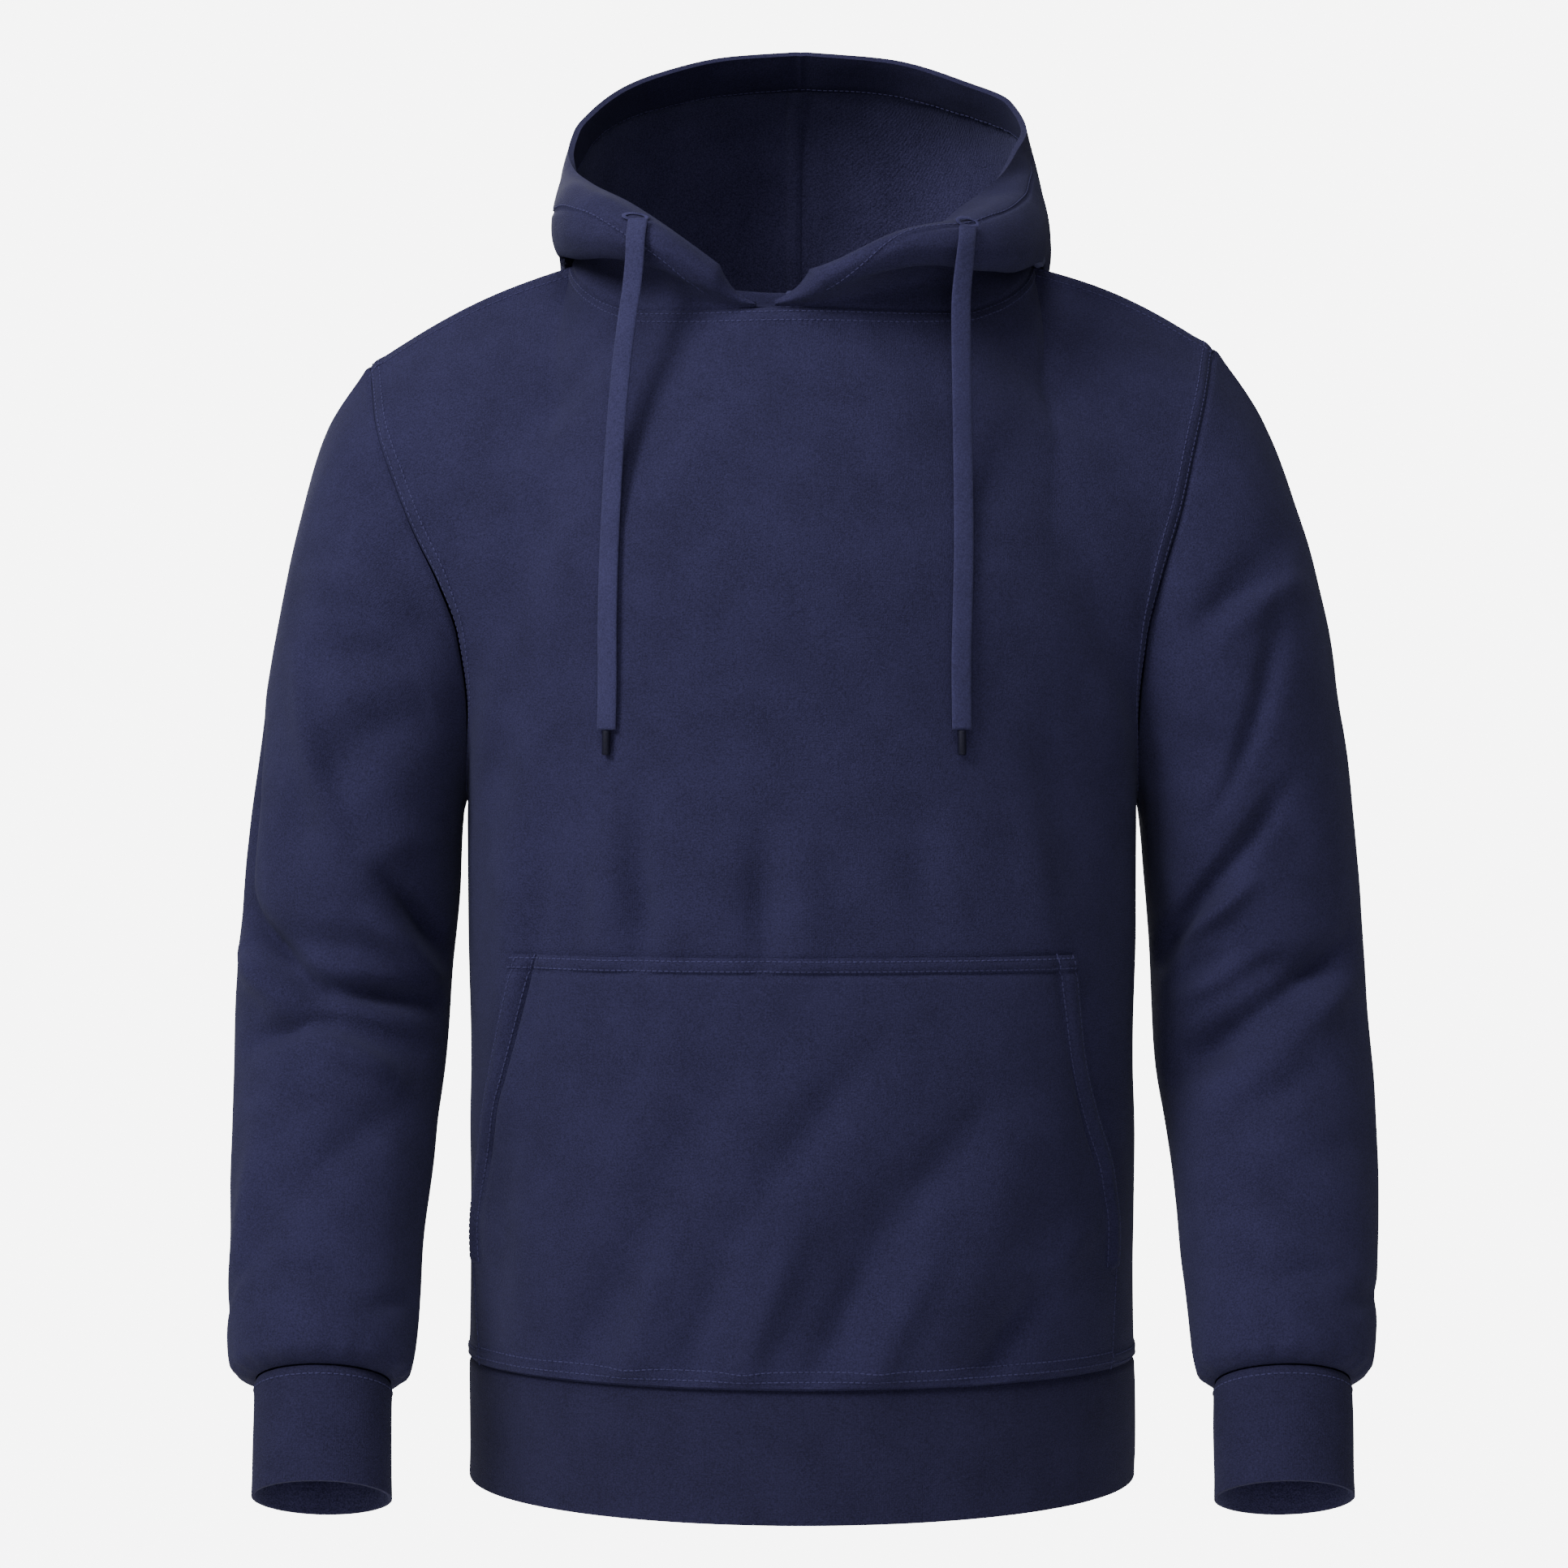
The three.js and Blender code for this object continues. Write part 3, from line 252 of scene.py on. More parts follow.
SLEEVE_CREASES = {
    "right": [
        (164, 0.40, 156, 0.57, 11, -5.5), (156, 0.57, 98, 0.635, 10, -8.5), (98, 0.635, 30, 0.615, 10, -7.5),
        (150, 0.615, 112, 0.665, 11, 5.5), (140, 0.70, 92, 0.675, 8, -5.5), (96, 0.69, 52, 0.72, 10, 5),
        (60, 0.47, 20, 0.54, 13, -6.5), (70, 0.53, 30, 0.575, 9, 4.5), (128, 0.30, 96, 0.46, 14, 3.5),
        (84, 0.10, 120, 0.26, 12, -3.5), (100, 0.06, 140, 0.20, 10, 3), (50, 0.76, 110, 0.86, 12, -2.6),
        (130, 0.80, 150, 0.93, 10, 2.2), (64, 0.93, 120, 0.915, 7, -2.2), (124, 0.90, 175, 0.94, 6, -2),
        (20, 0.93, 58, 0.95, 6, -2), (190, 0.3, 240, 0.4, 12, 3), (300, 0.5, 230, 0.6, 12, -5),
        (310, 0.62, 240, 0.66, 11, 4.5), (300, 0.70, 220, 0.73, 10, -4.5), (250, 0.88, 300, 0.93, 8, -2.2),
    ],
    "left": [
        (20, 0.55, 62, 0.47, 12, -5.5), (62, 0.47, 104, 0.41, 12, -4), (40, 0.53, 80, 0.50, 9, 4),
        (30, 0.70, 72, 0.665, 12, -7), (72, 0.665, 140, 0.60, 11, -5.5), (84, 0.70, 134, 0.655, 12, 5.5),
        (40, 0.61, 84, 0.585, 10, 4), (56, 0.77, 112, 0.73, 10, -3), (120, 0.20, 76, 0.34, 14, -3.5),
        (96, 0.08, 132, 0.17, 10, -3.5), (104, 0.13, 150, 0.24, 10, 3), (60, 0.82, 130, 0.90, 12, -2.4),
        (70, 0.93, 124, 0.915, 7, -2.2), (124, 0.95, 178, 0.92, 6, -2), (192, 0.34, 244, 0.44, 12, 3),
        (300, 0.52, 226, 0.61, 12, -5), (306, 0.64, 236, 0.675, 11, 4.5), (296, 0.72, 216, 0.745, 10, -4.5),
        (246, 0.9, 300, 0.94, 8, -2.2),
    ],
}
PANEL_CREASE_GAIN = 1.5
SLEEVE_CREASE_GAIN = 1.7

# Drawstring routes: x, y, z and the braid's slant
CORD_ROUTE = {
    "right": [
        (-88, -94.8, 19, -8), (-89, -101, 9, -16), (-89.5, -102.6, -3, -20), (-91, -102, -18, -20),
        (-93.5, -101.5, -35, -20), (-96, -101, -55, -20), (-98.5, -101, -80, -20), (-100.5, -102, -108, -20),
        (-102, -105.5, -138, -20), (-103, -111, -168, -19), (-103.5, -113.8, -198, -19),
        (-103.5, -113.4, -228, -20), (-104, -112.5, -254, -22),
    ],
    "left": [
        (88, -102.3, 14, 27), (87, -108.2, 5, 31), (85.5, -109.5, -8, 26), (84, -108.8, -25, 20),
        (84, -107.3, -45, 16), (84.5, -105.8, -70, 16), (85, -104.8, -100, 16), (85.2, -108, -130, 15),
        (85, -114.9, -160, 15), (84.2, -119.5, -190, 15), (83.5, -120.2, -218, 15), (83.8, -120, -254, 16),
    ],
}


def clamp(value, low=0.0, high=1.0):
    return max(low, min(high, value))


def ease(share):
    share = clamp(share)
    return share * share * (3 - 2 * share)


def lerp(start, end, share):
    return start + (end - start) * share


def through(at, value):
    """A smooth curve through a table's column, with no overshoot between its rows."""
    rise = [(value[i + 1] - value[i]) / (at[i + 1] - at[i]) for i in range(len(at) - 1)]
    slope = [rise[0]]
    for before, after in zip(rise, rise[1:]):
        slope.append(0.0 if before * after <= 0 else 2 * before * after / (before + after))
    slope.append(rise[-1])

    def curve(wanted):
        place = clamp(wanted, at[0], at[-1])
        i = 0
        while i < len(at) - 2 and place > at[i + 1]:
            i += 1
        span = at[i + 1] - at[i]
        t = (place - at[i]) / span
        bend = t * t * (3 - 2 * t)
        pull = slope[i] * t * (1 - t) ** 2 - slope[i + 1] * t * t * (1 - t)
        return value[i] * (1 - bend) + value[i + 1] * bend + span * pull

    return curve


def curves_of(table, key):
    return {name: through(table[key], values) for name, values in table.items() if name != key}


girth = curves_of(GIRTH, "way")
armhole = {side: curves_of(ARMHOLE[side], "way") for side in SIDES}
centre = {face: curves_of(CENTRE[face], "way") for face in CENTRE}
neck_rise = through(NECK_RISE["turn"], NECK_RISE["z"])
sleeve = curves_of(SLEEVE, "way")
pocket_edge = curves_of(POCKET_EDGES, "z")


def point_curves(shares, points):
    axes = [through(shares, [point[k] for point in points]) for k in range(3)]
    return lambda share: np.array([axis(share) for axis in axes])


rim = {side: point_curves(HOOD_SHARES, RIM[side]) for side in SIDES}
hood_curves = [point_curves(HOOD_SHARES, points) for points in HOOD_POINTS.values()]


def neck_point(turn):
    angle = math.radians(turn)
    depth = NECK_FRONT_DEPTH if math.cos(angle) > 0 else NECK_BACK_DEPTH
    x = NECK_HALF_WIDTH * math.sin(angle)
    return np.array([x, NECK_SIDE_Y - depth * math.cos(angle), neck_rise(abs(turn))])


def fold_lift(folds, across, up):
    lift = 0.0
    for x0, z0, x1, z1, half, height in folds:
        run_x, run_z = x1 - x0, z1 - z0
        along = clamp(((across - x0) * run_x + (up - z0) * run_z) / (run_x**2 + run_z**2))
        off = math.hypot(across - x0 - run_x * along, up - z0 - run_z * along)
        if off < 3 * half:
            lift += height * (0.4 + 0.6 * math.sin(math.pi * along)) * math.exp(-((off / half) ** 2))
    return lift


def top_edge(stops, first_side, last_side, column):
    def shoulder(side, turn, share):
        tip = np.array([armhole[side]["x"](2), armhole[side]["front"](2), armhole[side]["z"](2)])
        point = lerp(tip, neck_point(turn), share)
        point[2] += SHOULDER_ARCH * math.sin(math.pi * share)
        return point

    def folded(turn):
        return turn - 360 if turn > 180 else turn

    first, last = stops[0], stops[-1]
    if column <= first[0]:
        return shoulder(first_side, folded(first[1]), column / first[0])
    if column >= last[0]:
        return shoulder(last_side, folded(last[1]), (PANEL_COLUMNS - column) / (PANEL_COLUMNS - last[0]))
    at = next(i for i, stop in enumerate(stops) if column <= stop[0])
    share = (column - stops[at - 1][0]) / (stops[at][0] - stops[at - 1][0])
    return neck_point(folded(lerp(stops[at - 1][1], stops[at][1], share)))


def chest_point(face, first_side, last_side, way, place):
    line = centre[face]
    half = math.radians(line["turn"](way))
    angle = place * half
    side = armhole[first_side if place < 0 else last_side]
    round_off = (1 - math.cos(angle)) / (1 - math.cos(half))
    return np.array([
        side["x"](way) * abs(math.sin(angle)) / math.sin(half),
        lerp(line["y"](way), side[face](way), round_off),
        lerp(line["z"](way), side["z"](way), place**2),
    ])


def round_point(way, turn):
    angle = math.radians(turn)
    power = 2 / girth["square"](way)
    sine, cosine = math.sin(angle), math.cos(angle)
    depth = girth["front"](way) if cosine > 0 else girth["back"](way)
    return np.array([
        girth["wide"](way) * math.copysign(abs(sine) ** power, sine),
        -depth * math.copysign(abs(cosine) ** power, cosine),
        lerp(HEM_SEAM_Z, ARMPIT_Z, way),
    ])


PANELS = {
    "front": (FRONT_STOPS, "right", "left", -90),
    "back": (BACK_STOPS, "left", "right", 90),
}


def panel_point(face, way, column):
    stops, first, last, start_turn = PANELS[face]
    place = 2 * column / PANEL_COLUMNS - 1
    turn = start_turn + 180 * column / PANEL_COLUMNS
    point = round_point(min(way, 1), turn)
    if way > 1:
        flat = chest_point(face, first, last, way, place)
        top = chest_point(face, first, last, 2, place)
        yoke = clamp((way - YOKE_START) / (2 - YOKE_START)) ** 2
        point = flat + yoke * (top_edge(stops, first, last, column) - top)
    fade = ease((1 - abs(place)) / 0.16) * ease(way / 0.1) * ease((2 - way) / 0.3)
    outward = np.array([math.sin(math.radians(turn)), -math.cos(math.radians(turn)), 0])
    fine = ease((1 - abs(place)) / 0.06) * ease(way / 0.03) * ease((2 - way) / 0.12)
    folds = fade * fold_lift(FOLDS[face], point[0], point[2])
    creases = fine * fold_lift(CREASES[face], point[0], point[2])
    return point + outward * (folds + PANEL_CREASE_GAIN * creases)


def armhole_point(side, share):
    way = 1 + 2 * share if share < 0.5 else 3 - 2 * share
    face = "front" if share < 0.5 else "back"
    return np.array([armhole[side]["x"](way), armhole[side][face](way), armhole[side]["z"](way)])


def sleeve_ring(side, way, share):
    sign = SIDES[side]
    outer = np.array([sign * sleeve["out_x"](way), 0, sleeve["out_z"](way)])
    inner = np.array([sign * sleeve["in_x"](way), 0, sleeve["in_z"](way)])
    lean = math.radians(sleeve["lean"](way))
    middle = (outer + inner) / 2
    middle[1] = sleeve["y"](way)
    forward = np.array([0, -math.cos(lean), math.sin(lean)]) * sleeve["depth"](way)
    angle = 2 * math.pi * share
    return middle + (inner - outer) / 2 * math.cos(angle) + forward * math.sin(angle)


def sleeve_point(side, way, share):
    point = sleeve_ring(side, way, share)
    middle = (sleeve_ring(side, way, 0) + sleeve_ring(side, way, 0.5)) / 2
    outward = (point - middle) / np.linalg.norm(point - middle)
    hold = (1 - min(way / SLEEVE_BLEND, 1)) ** 2
    point = point + hold * (armhole_point(side, share % 1) - sleeve_ring(side, 0, share))
    across = sleeve["depth"](way) * math.pi / 180

    def lift(folds):
        flat = []
        for turn0, way0, turn1, way1, half, height in folds:
            ends = (turn0 * across, way0 * ARM_LENGTH, turn1 * across, way1 * ARM_LENGTH)
            flat.append((*ends, half, height))
        return fold_lift(flat, 360 * (share % 1) * across, way * ARM_LENGTH)

    fade = ease(way / 0.1) * ease((0.95 - way) / 0.1)
    fine = ease(way / 0.06) * ease((0.985 - way) / 0.04)
    folds = fade * lift(SLEEVE_FOLDS[side])
    return point + outward * (folds + SLEEVE_CREASE_GAIN * fine * lift(SLEEVE_CREASES[side]))


def cuff_point(side, down, share):
    lean = math.radians(WRIST_LEAN)
    along = np.array([0, -math.sin(lean), -math.cos(lean)]) * CUFF_LENGTH * down
    along[0] = -SIDES[side] * CUFF_SHIFT_IN * down
    return sleeve_ring(side, 1, share) + along


def hem_point(up, turn):
    edge = HEM_EDGE_Z - HEM_DROP * math.sqrt(abs(math.cos(math.radians(turn))))
    point = round_point(0, turn)
    point[2] = lerp(edge, HEM_SEAM_Z, up)
    return point


def spline_point(points, climb):
    """A point of the centripetal curve through the points, climb 0 to 1."""
    place = climb * (len(points) - 1)
    i = min(int(place), len(points) - 2)
    t = place - i
    p1, p2 = points[i], points[i + 1]
    p0 = points[i - 1] if i > 0 else 2 * points[0] - points[1]
    p3 = points[i + 2] if i + 2 < len(points) else 2 * points[-1] - points[-2]
    d0, d1, d2 = (math.sqrt(np.linalg.norm(b - a)) for a, b in ((p0, p1), (p1, p2), (p2, p3)))
    d1 = d1 if d1 > 1e-4 else 1.0
    d0 = d0 if d0 > 1e-4 else d1
    d2 = d2 if d2 > 1e-4 else d1
    m1 = ((p1 - p0) / d0 - (p2 - p0) / (d0 + d1) + (p2 - p1) / d1) * d1
    m2 = ((p2 - p1) / d1 - (p3 - p1) / (d1 + d2) + (p3 - p2) / d2) * d1
    from_start = (2 * t**3 - 3 * t**2 + 1) * p1 + (t**3 - 2 * t**2 + t) * m1
    return from_start + (3 * t**2 - 2 * t**3) * p2 + (t**3 - t**2) * m2


def hood_path(side, turn):
    """The hood's section above a place of the neck seam, as its control points."""
    sign = SIDES[side]
    far = 180 * sign
    share = clamp((turn - V_TURN[side]) / (far - V_TURN[side]))
    seam = neck_point(turn)
    mirror = np.array([-sign, 1, 1])
    edge = rim[side](share)
    seam_shift = seam - neck_point(-sign * lerp(V_TURN["right"], -180, share))
    edge_shift = edge - rim["right"](share) * mirror
    path = [seam]
    for i, curve in enumerate(hood_curves):
        shift = lerp(seam_shift, edge_shift, ((i + 1) / 7) ** RIM_PULL)
        path.append(curve(share) * np.array([sign, 1, 1]) + shift)
    path.append(edge)
    open_out = lerp(V_END, 1, clamp(share / V_TAPER))
    return [seam + (point - seam) * open_out for point in path]


def pocket_point(climb, place):
    z = lerp(HEM_SEAM_Z + 2, POCKET_TOP_Z, climb)
    turn = lerp(pocket_edge["right"](z), pocket_edge["left"](z), (place + 1) / 2)
    way = (z - HEM_SEAM_Z) / (ARMPIT_Z - HEM_SEAM_Z)
    swell = 1.6 * math.cos(math.pi / 2 * place) * math.sin(math.pi * climb)
    outward = np.array([math.sin(math.radians(turn)), -math.cos(math.radians(turn)), 0])
    base = panel_point("front", way, (turn + 90) / 180 * PANEL_COLUMNS)
    return base + outward * (WALL + POCKET_STANDOFF + swell)


def bump(distance, width, middle=0):
    """1 at this distance from an edge, fading out over the width."""
    return np.exp(-(((distance - middle) / width) ** 2))


# Sheets of cloth
class Sheet:
    """A cloth piece as rows of points on its outer face, in millimetres, with normals and edge distances."""

    def __init__(self, points, facing, tube):
        self.points = points
        self.facing = facing
        self.tube = tube
        self.measure()

    def measure(self):
        p = self.points
        if self.tube:
            wrapped = np.concatenate([p[:, -2:-1], p, p[:, 1:2]], axis=1)
            across = wrapped[:, 2:] - wrapped[:, :-2]
        else:
            across = np.gradient(p, axis=1)
        up = np.gradient(p, axis=0)
        normal = np.cross(across, up) * self.facing
        length = np.linalg.norm(normal, axis=2, keepdims=True)
        self.normals = normal / np.maximum(length, 1e-9)
        step_across = np.linalg.norm(np.diff(p, axis=1), axis=2)
        step_up = np.linalg.norm(np.diff(p, axis=0), axis=2)
        zero_column = np.zeros((p.shape[0], 1))
        zero_row = np.zeros((1, p.shape[1]))
        self.from_first = np.concatenate([zero_column, np.cumsum(step_across, axis=1)], axis=1)
        self.from_last = self.from_first[:, -1:] - self.from_first
        self.from_bottom = np.concatenate([zero_row, np.cumsum(step_up, axis=0)], axis=0)
        self.from_top = self.from_bottom[-1:, :] - self.from_bottom

    def lift(self, amount):
        self.points = self.points + self.normals * amount[:, :, None]

    def rumple(self, height, size, seed):
        """Soft unevenness of filled cloth, the same each run."""
        amount = np.zeros(self.points.shape[:2])
        for r in range(self.points.shape[0]):
            for c in range(self.points.shape[1]):
                x, y, z = self.points[r, c] / size
                amount[r, c] = noise.noise(Vector((x + seed, y, z * 0.7)))
        if self.tube:
            amount[:, -1] = amount[:, 0]
        self.lift(height * amount * self.inside(14))

    def inside(self, reach):
        """0 on every edge, 1 from that reach inwards."""
        near = np.minimum(self.from_bottom, self.from_top)
        if not self.tube:
            near = np.minimum(near, np.minimum(self.from_first, self.from_last))
        share = np.clip(near / reach, 0, 1)
        return share * share * (3 - 2 * share)

    def soften(self, places, middle, reach, rounds):
        """Evens out the shading across the row at this place, leaving the side edges alone."""
        weight = 0.5 * bump(np.array(places), reach, middle)[1:-1, None]
        near = np.minimum(self.from_first, self.from_last)[1:-1]
        weight = (weight * np.clip(near / 14, 0, 1))[:, :, None]
        for _ in range(rounds):
            even = (self.points[:-2] + self.points[2:]) / 2
            self.points[1:-1] += weight * (even - self.points[1:-1])
        self.measure()

    def seam(self, distance, groove=1.1, ridge=1.0):
        """A seam's groove at the edge and the raised strip that its allowance makes under the twin rows."""
        strip = np.clip((distance - 1.2) / 1.4, 0, 1) * np.clip((11 - distance) / 1.6, 0, 1)
        dents = bump(distance, STITCH_DENT, TWIN_NEAR) + bump(distance, STITCH_DENT, TWIN_FAR)
        self.lift(ridge * strip - groove * bump(distance, SEAM_GROOVE) - 0.9 * dents)


def grid_points(rows, columns, point_at):
    return np.array([[point_at(row, column) for column in columns] for row in rows])


def spread(count, start=0.0, end=1.0):
    return [lerp(start, end, i / count) for i in range(count + 1)]


def near_edges(count, start, end, edge, extra):
    """Even places, with a few more close to both ends, where the seams are."""
    places = spread(count, start, end)
    close = spread(extra, 0, edge)[1:-1]
    span = 1 if end > start else -1
    for place in [start + span * d for d in close] + [end - span * d for d in close]:
        if min(abs(place - other) for other in places) > 0.35 * edge / extra:
            places.append(place)
    return sorted(set(round(p, 6) for p in places), reverse=end < start)


def deselect():
    for obj in bpy.context.selected_objects:
        obj.select_set(False)


def make_cloth(name, sheet, outside, inside, thickness=WALL, casing=False):
    """The sheet as a grid laid on its points and given its wall, its inner face in the inside's material."""
    rows, columns = sheet.points.shape[:2]
    points = sheet.points.copy()
    for r0, r1 in ((0, 1), (-1, -2)):
        run = points[r1] - points[r0]
        points[r0] += SEAM_PULL * run / np.maximum(np.linalg.norm(run, axis=1, keepdims=True), 1e-6)
    if not sheet.tube:
        for c0, c1 in ((0, 1), (-1, -2)):
            run = points[:, c1] - points[:, c0]
            points[:, c0] += SEAM_PULL * run / np.maximum(np.linalg.norm(run, axis=1, keepdims=True), 1e-6)
    if sheet.tube:
        points[:, -1] = points[:, 0]
    deselect()
    bpy.ops.mesh.primitive_grid_add(x_subdivisions=columns - 1, y_subdivisions=rows - 1, size=2)
    obj = bpy.context.active_object
    obj.name = name
    mesh = obj.data
    start = np.empty(len(mesh.vertices) * 3)
    mesh.vertices.foreach_get("co", start)
    start = start.reshape(-1, 3)
    column = np.rint((start[:, 0] + 1) / 2 * (columns - 1)).astype(int)
    row = np.rint((start[:, 1] + 1) / 2 * (rows - 1)).astype(int)
    mesh.vertices.foreach_set("co", (points[row, column] * MM).ravel())
    corner = np.empty(len(mesh.loops), dtype=int)
    mesh.loops.foreach_get("vertex_index", corner)
    middle_row = rows // 2
    flat = np.stack([
        np.broadcast_to(sheet.from_first[middle_row], (rows, columns)) * MM,
        sheet.from_bottom * MM,
    ], axis=2)
    mesh.uv_layers.active.data.foreach_set("uv", flat[row[corner], column[corner]].ravel())
    mesh.uv_layers.active.name = "cut"
    from_rim = mesh.attributes.new("from_rim", "FLOAT", "POINT")
    from_rim.data.foreach_set("value", (sheet.from_top[row, column] * MM))
    mesh.materials.append(outside)
    mesh.materials.append(inside)
    bpy.ops.object.mode_set(mode="EDIT")
    bpy.ops.mesh.select_all(action="SELECT")
    if sheet.tube:
        bpy.ops.mesh.remove_doubles(threshold=1e-6)
    if sheet.facing < 0:
        bpy.ops.mesh.flip_normals()
    bpy.ops.object.mode_set(mode="OBJECT")
    wall = obj.modifiers.new("wall", "SOLIDIFY")
    wall.thickness = thickness * MM
    wall.offset = -1
    wall.use_rim = True
    wall.material_offset = 1
    wall.material_offset_rim = 0
    if casing:
        group = obj.vertex_groups.new(name="casing")
        for vertex in mesh.vertices:
            share = from_casing(mesh.attributes["from_rim"].data[vertex.index].value)
            from_v = (vertex.co - Vector(V_POINT) * MM).length / MM
            thin_end = lerp(V_WALL_SHARE, 1, ease(from_v / V_WALL_REACH))
            group.add([vertex.index], lerp(WALL / CASING_WALL, 1, share) * thin_end, "REPLACE")
        wall.thickness = CASING_WALL * MM
        wall.vertex_group = "casing"
    bpy.ops.object.modifier_apply(modifier=wall.name)
    if casing:
        face_the_casing(obj)
    for polygon in obj.data.polygons:
        polygon.use_smooth = True
    bpy.ops.object.shade_smooth_by_angle(angle=math.radians(50))
    return obj


def from_casing(distance):
    """1 within the turned casing, 0 past its stitched edge."""
    return 1 - ease((distance / MM - CASING_WIDE + 0.8) / 1.6)


def face_the_casing(obj):
    """The casing is the cloth turned in, so its inside shows the smooth face."""
    values = obj.data.attributes["from_rim"].data
    for polygon in obj.data.polygons:
        reach = sum(values[v].value for v in polygon.vertices) / len(polygon.vertices)
        if polygon.material_index == 1 and reach < CASING_WIDE * MM:
            polygon.material_index = 0
        # Painted shade: the darker smooth outside cloth is put over the neck seam at the back, as a neck
        # tape, to darken this deep part of the hood
        centre_y, centre_z = polygon.center.y / MM, polygon.center.z / MM
        over_seam = NECK_SHADE_TAPE_Y[0] < centre_y < NECK_SHADE_TAPE_Y[1] and centre_z < NECK_SHADE_TAPE_TOP_Z
        if polygon.material_index == 1 and over_seam:
            polygon.material_index = 0


# Materials
def group_socket(group, name, kind, direction, value=None):
    socket = group.interface.new_socket(name=name, in_out=direction, socket_type=kind)
    if value is not None:
        socket.default_value = value
    return socket


def add_node(tree, kind, inputs=(), **settings):
    node = tree.nodes.new(f"ShaderNode{kind}")
    for name, value in settings.items():
        setattr(node, name, value)
    set_inputs(node, dict(inputs))
    return node


def set_inputs(node, inputs):
    for name, value in inputs.items():
        node.inputs[name].default_value = value


def link_nodes(tree, wires):
    for source, output, target, entrance in wires:
        tree.links.new(source.outputs[output], target.inputs[entrance])


def make_knit_group():
    """Fine jersey: loops on the cut's own UV map, with uneven yarn and a heathered tint."""
    group = bpy.data.node_groups.new("jersey knit", "ShaderNodeTree")
    group_socket(group, "Wales per metre", "NodeSocketFloat", "INPUT", 1100.0)
    group_socket(group, "Loop height", "NodeSocketFloat", "INPUT", 1.0)
    group_socket(group, "Dark yarn", "NodeSocketColor", "INPUT")
    group_socket(group, "Light yarn", "NodeSocketColor", "INPUT")
    group_socket(group, "Color", "NodeSocketColor", "OUTPUT")
    group_socket(group, "Height", "NodeSocketFloat", "OUTPUT")
    entry = group.nodes.new("NodeGroupInput")
    leave = group.nodes.new("NodeGroupOutput")
    place = add_node(group, "TexCoord")
    scaled = add_node(group, "VectorMath", operation="SCALE")
    loops = add_node(group, "TexVoronoi", {"Scale": 1.0, "Randomness": 0.35})
    yarn = add_node(group, "TexNoise", {"Scale": 1150.0, "Detail": 4.0})
    cloud = add_node(group, "TexNoise", {"Scale": 38.0, "Detail": 3.0})
    shade = add_node(group, "Mix", {"Factor": 0.22}, data_type="FLOAT")
    ramp = add_node(group, "MapRange", {"From Min": 0.35, "From Max": 0.65})
    tint = add_node(group, "Mix", data_type="RGBA")
    depth = add_node(group, "Math", {1: -0.6}, operation="MULTIPLY_ADD")
    height = add_node(group, "Math", operation="MULTIPLY")
    link_nodes(group, [
        (place, "UV", scaled, 0),
        (entry, "Wales per metre", scaled, "Scale"),
        (scaled, 0, loops, "Vector"),
        (place, "Object", yarn, "Vector"),
        (place, "Object", cloud, "Vector"),
        (yarn, "Fac", shade, "A"),
        (cloud, "Fac", shade, "B"),
        (shade, "Result", ramp, "Value"),
        (ramp, "Result", tint, "Factor"),
        (entry, "Dark yarn", tint, "A"),
        (entry, "Light yarn", tint, "B"),
        (loops, "Distance", depth, 0),
        (yarn, "Fac", depth, 2),
        (depth, 0, height, 0),
        (entry, "Loop height", height, 1),
        (tint, "Result", leave, "Color"),
        (height, 0, leave, "Height"),
    ])
    return group


def make_cloth_material(name, knit, dark, light, wales, relief_share, sheen, roughness):
    material = bpy.data.materials.new(name)
    material.use_nodes = True
    tree = material.node_tree
    surface = tree.nodes["Principled BSDF"]
    set_inputs(surface, {
        "Roughness": roughness,
        "Sheen Weight": sheen,
        "Sheen Roughness": 0.5,
        "Sheen Tint": (0.5, 0.55, 0.85, 1),
        "Specular IOR Level": 0.15,
    })
    cloth = add_node(tree, "Group", node_tree=knit)
    set_inputs(cloth, {
        "Wales per metre": wales,
        "Loop height": 1.0,
        "Dark yarn": (*dark, 1),
        "Light yarn": (*light, 1),
    })
    relief = add_node(tree, "Bump", {"Strength": relief_share, "Distance": 0.0006})
    link_nodes(tree, [
        (cloth, "Color", surface, "Base Color"),
        (cloth, "Height", relief, "Height"),
        (relief, "Normal", surface, "Normal"),
    ])
    return material


knit = make_knit_group()
# Dark yarn, light yarn, wales per metre, bump, sheen and roughness of each cloth
CLOTHS = {
    "navy jersey": ((0.0132, 0.0121, 0.0358), (0.0275, 0.0256, 0.073), 1100, 0.7, 0.05, 0.92),
    "brushed fleece": ((0.021, 0.0196, 0.0545), (0.058, 0.0540, 0.136), 300, 1.0, 0.12, 0.92),
    "navy fine rib": ((0.0108, 0.0098, 0.029), (0.0225, 0.0208, 0.059), 900, 0.7, 0.04, 0.92),
    "sewing thread": ((0.030, 0.0285, 0.076), (0.052, 0.0495, 0.130), 3000, 0.3, 0.05, 0.92),
    "flat braid": ((0.024, 0.0226, 0.062), (0.043, 0.0408, 0.110), 1600, 0.5, 0.06, 0.92),
    "bound tip": ((0.005, 0.005, 0.013), (0.010, 0.010, 0.024), 2600, 0.2, 0.0, 0.55),
}
made = {name: make_cloth_material(name, knit, *values) for name, values in CLOTHS.items()}
OUTSIDE, INSIDE, BAND, THREAD, BRAID, TIP = made.values()


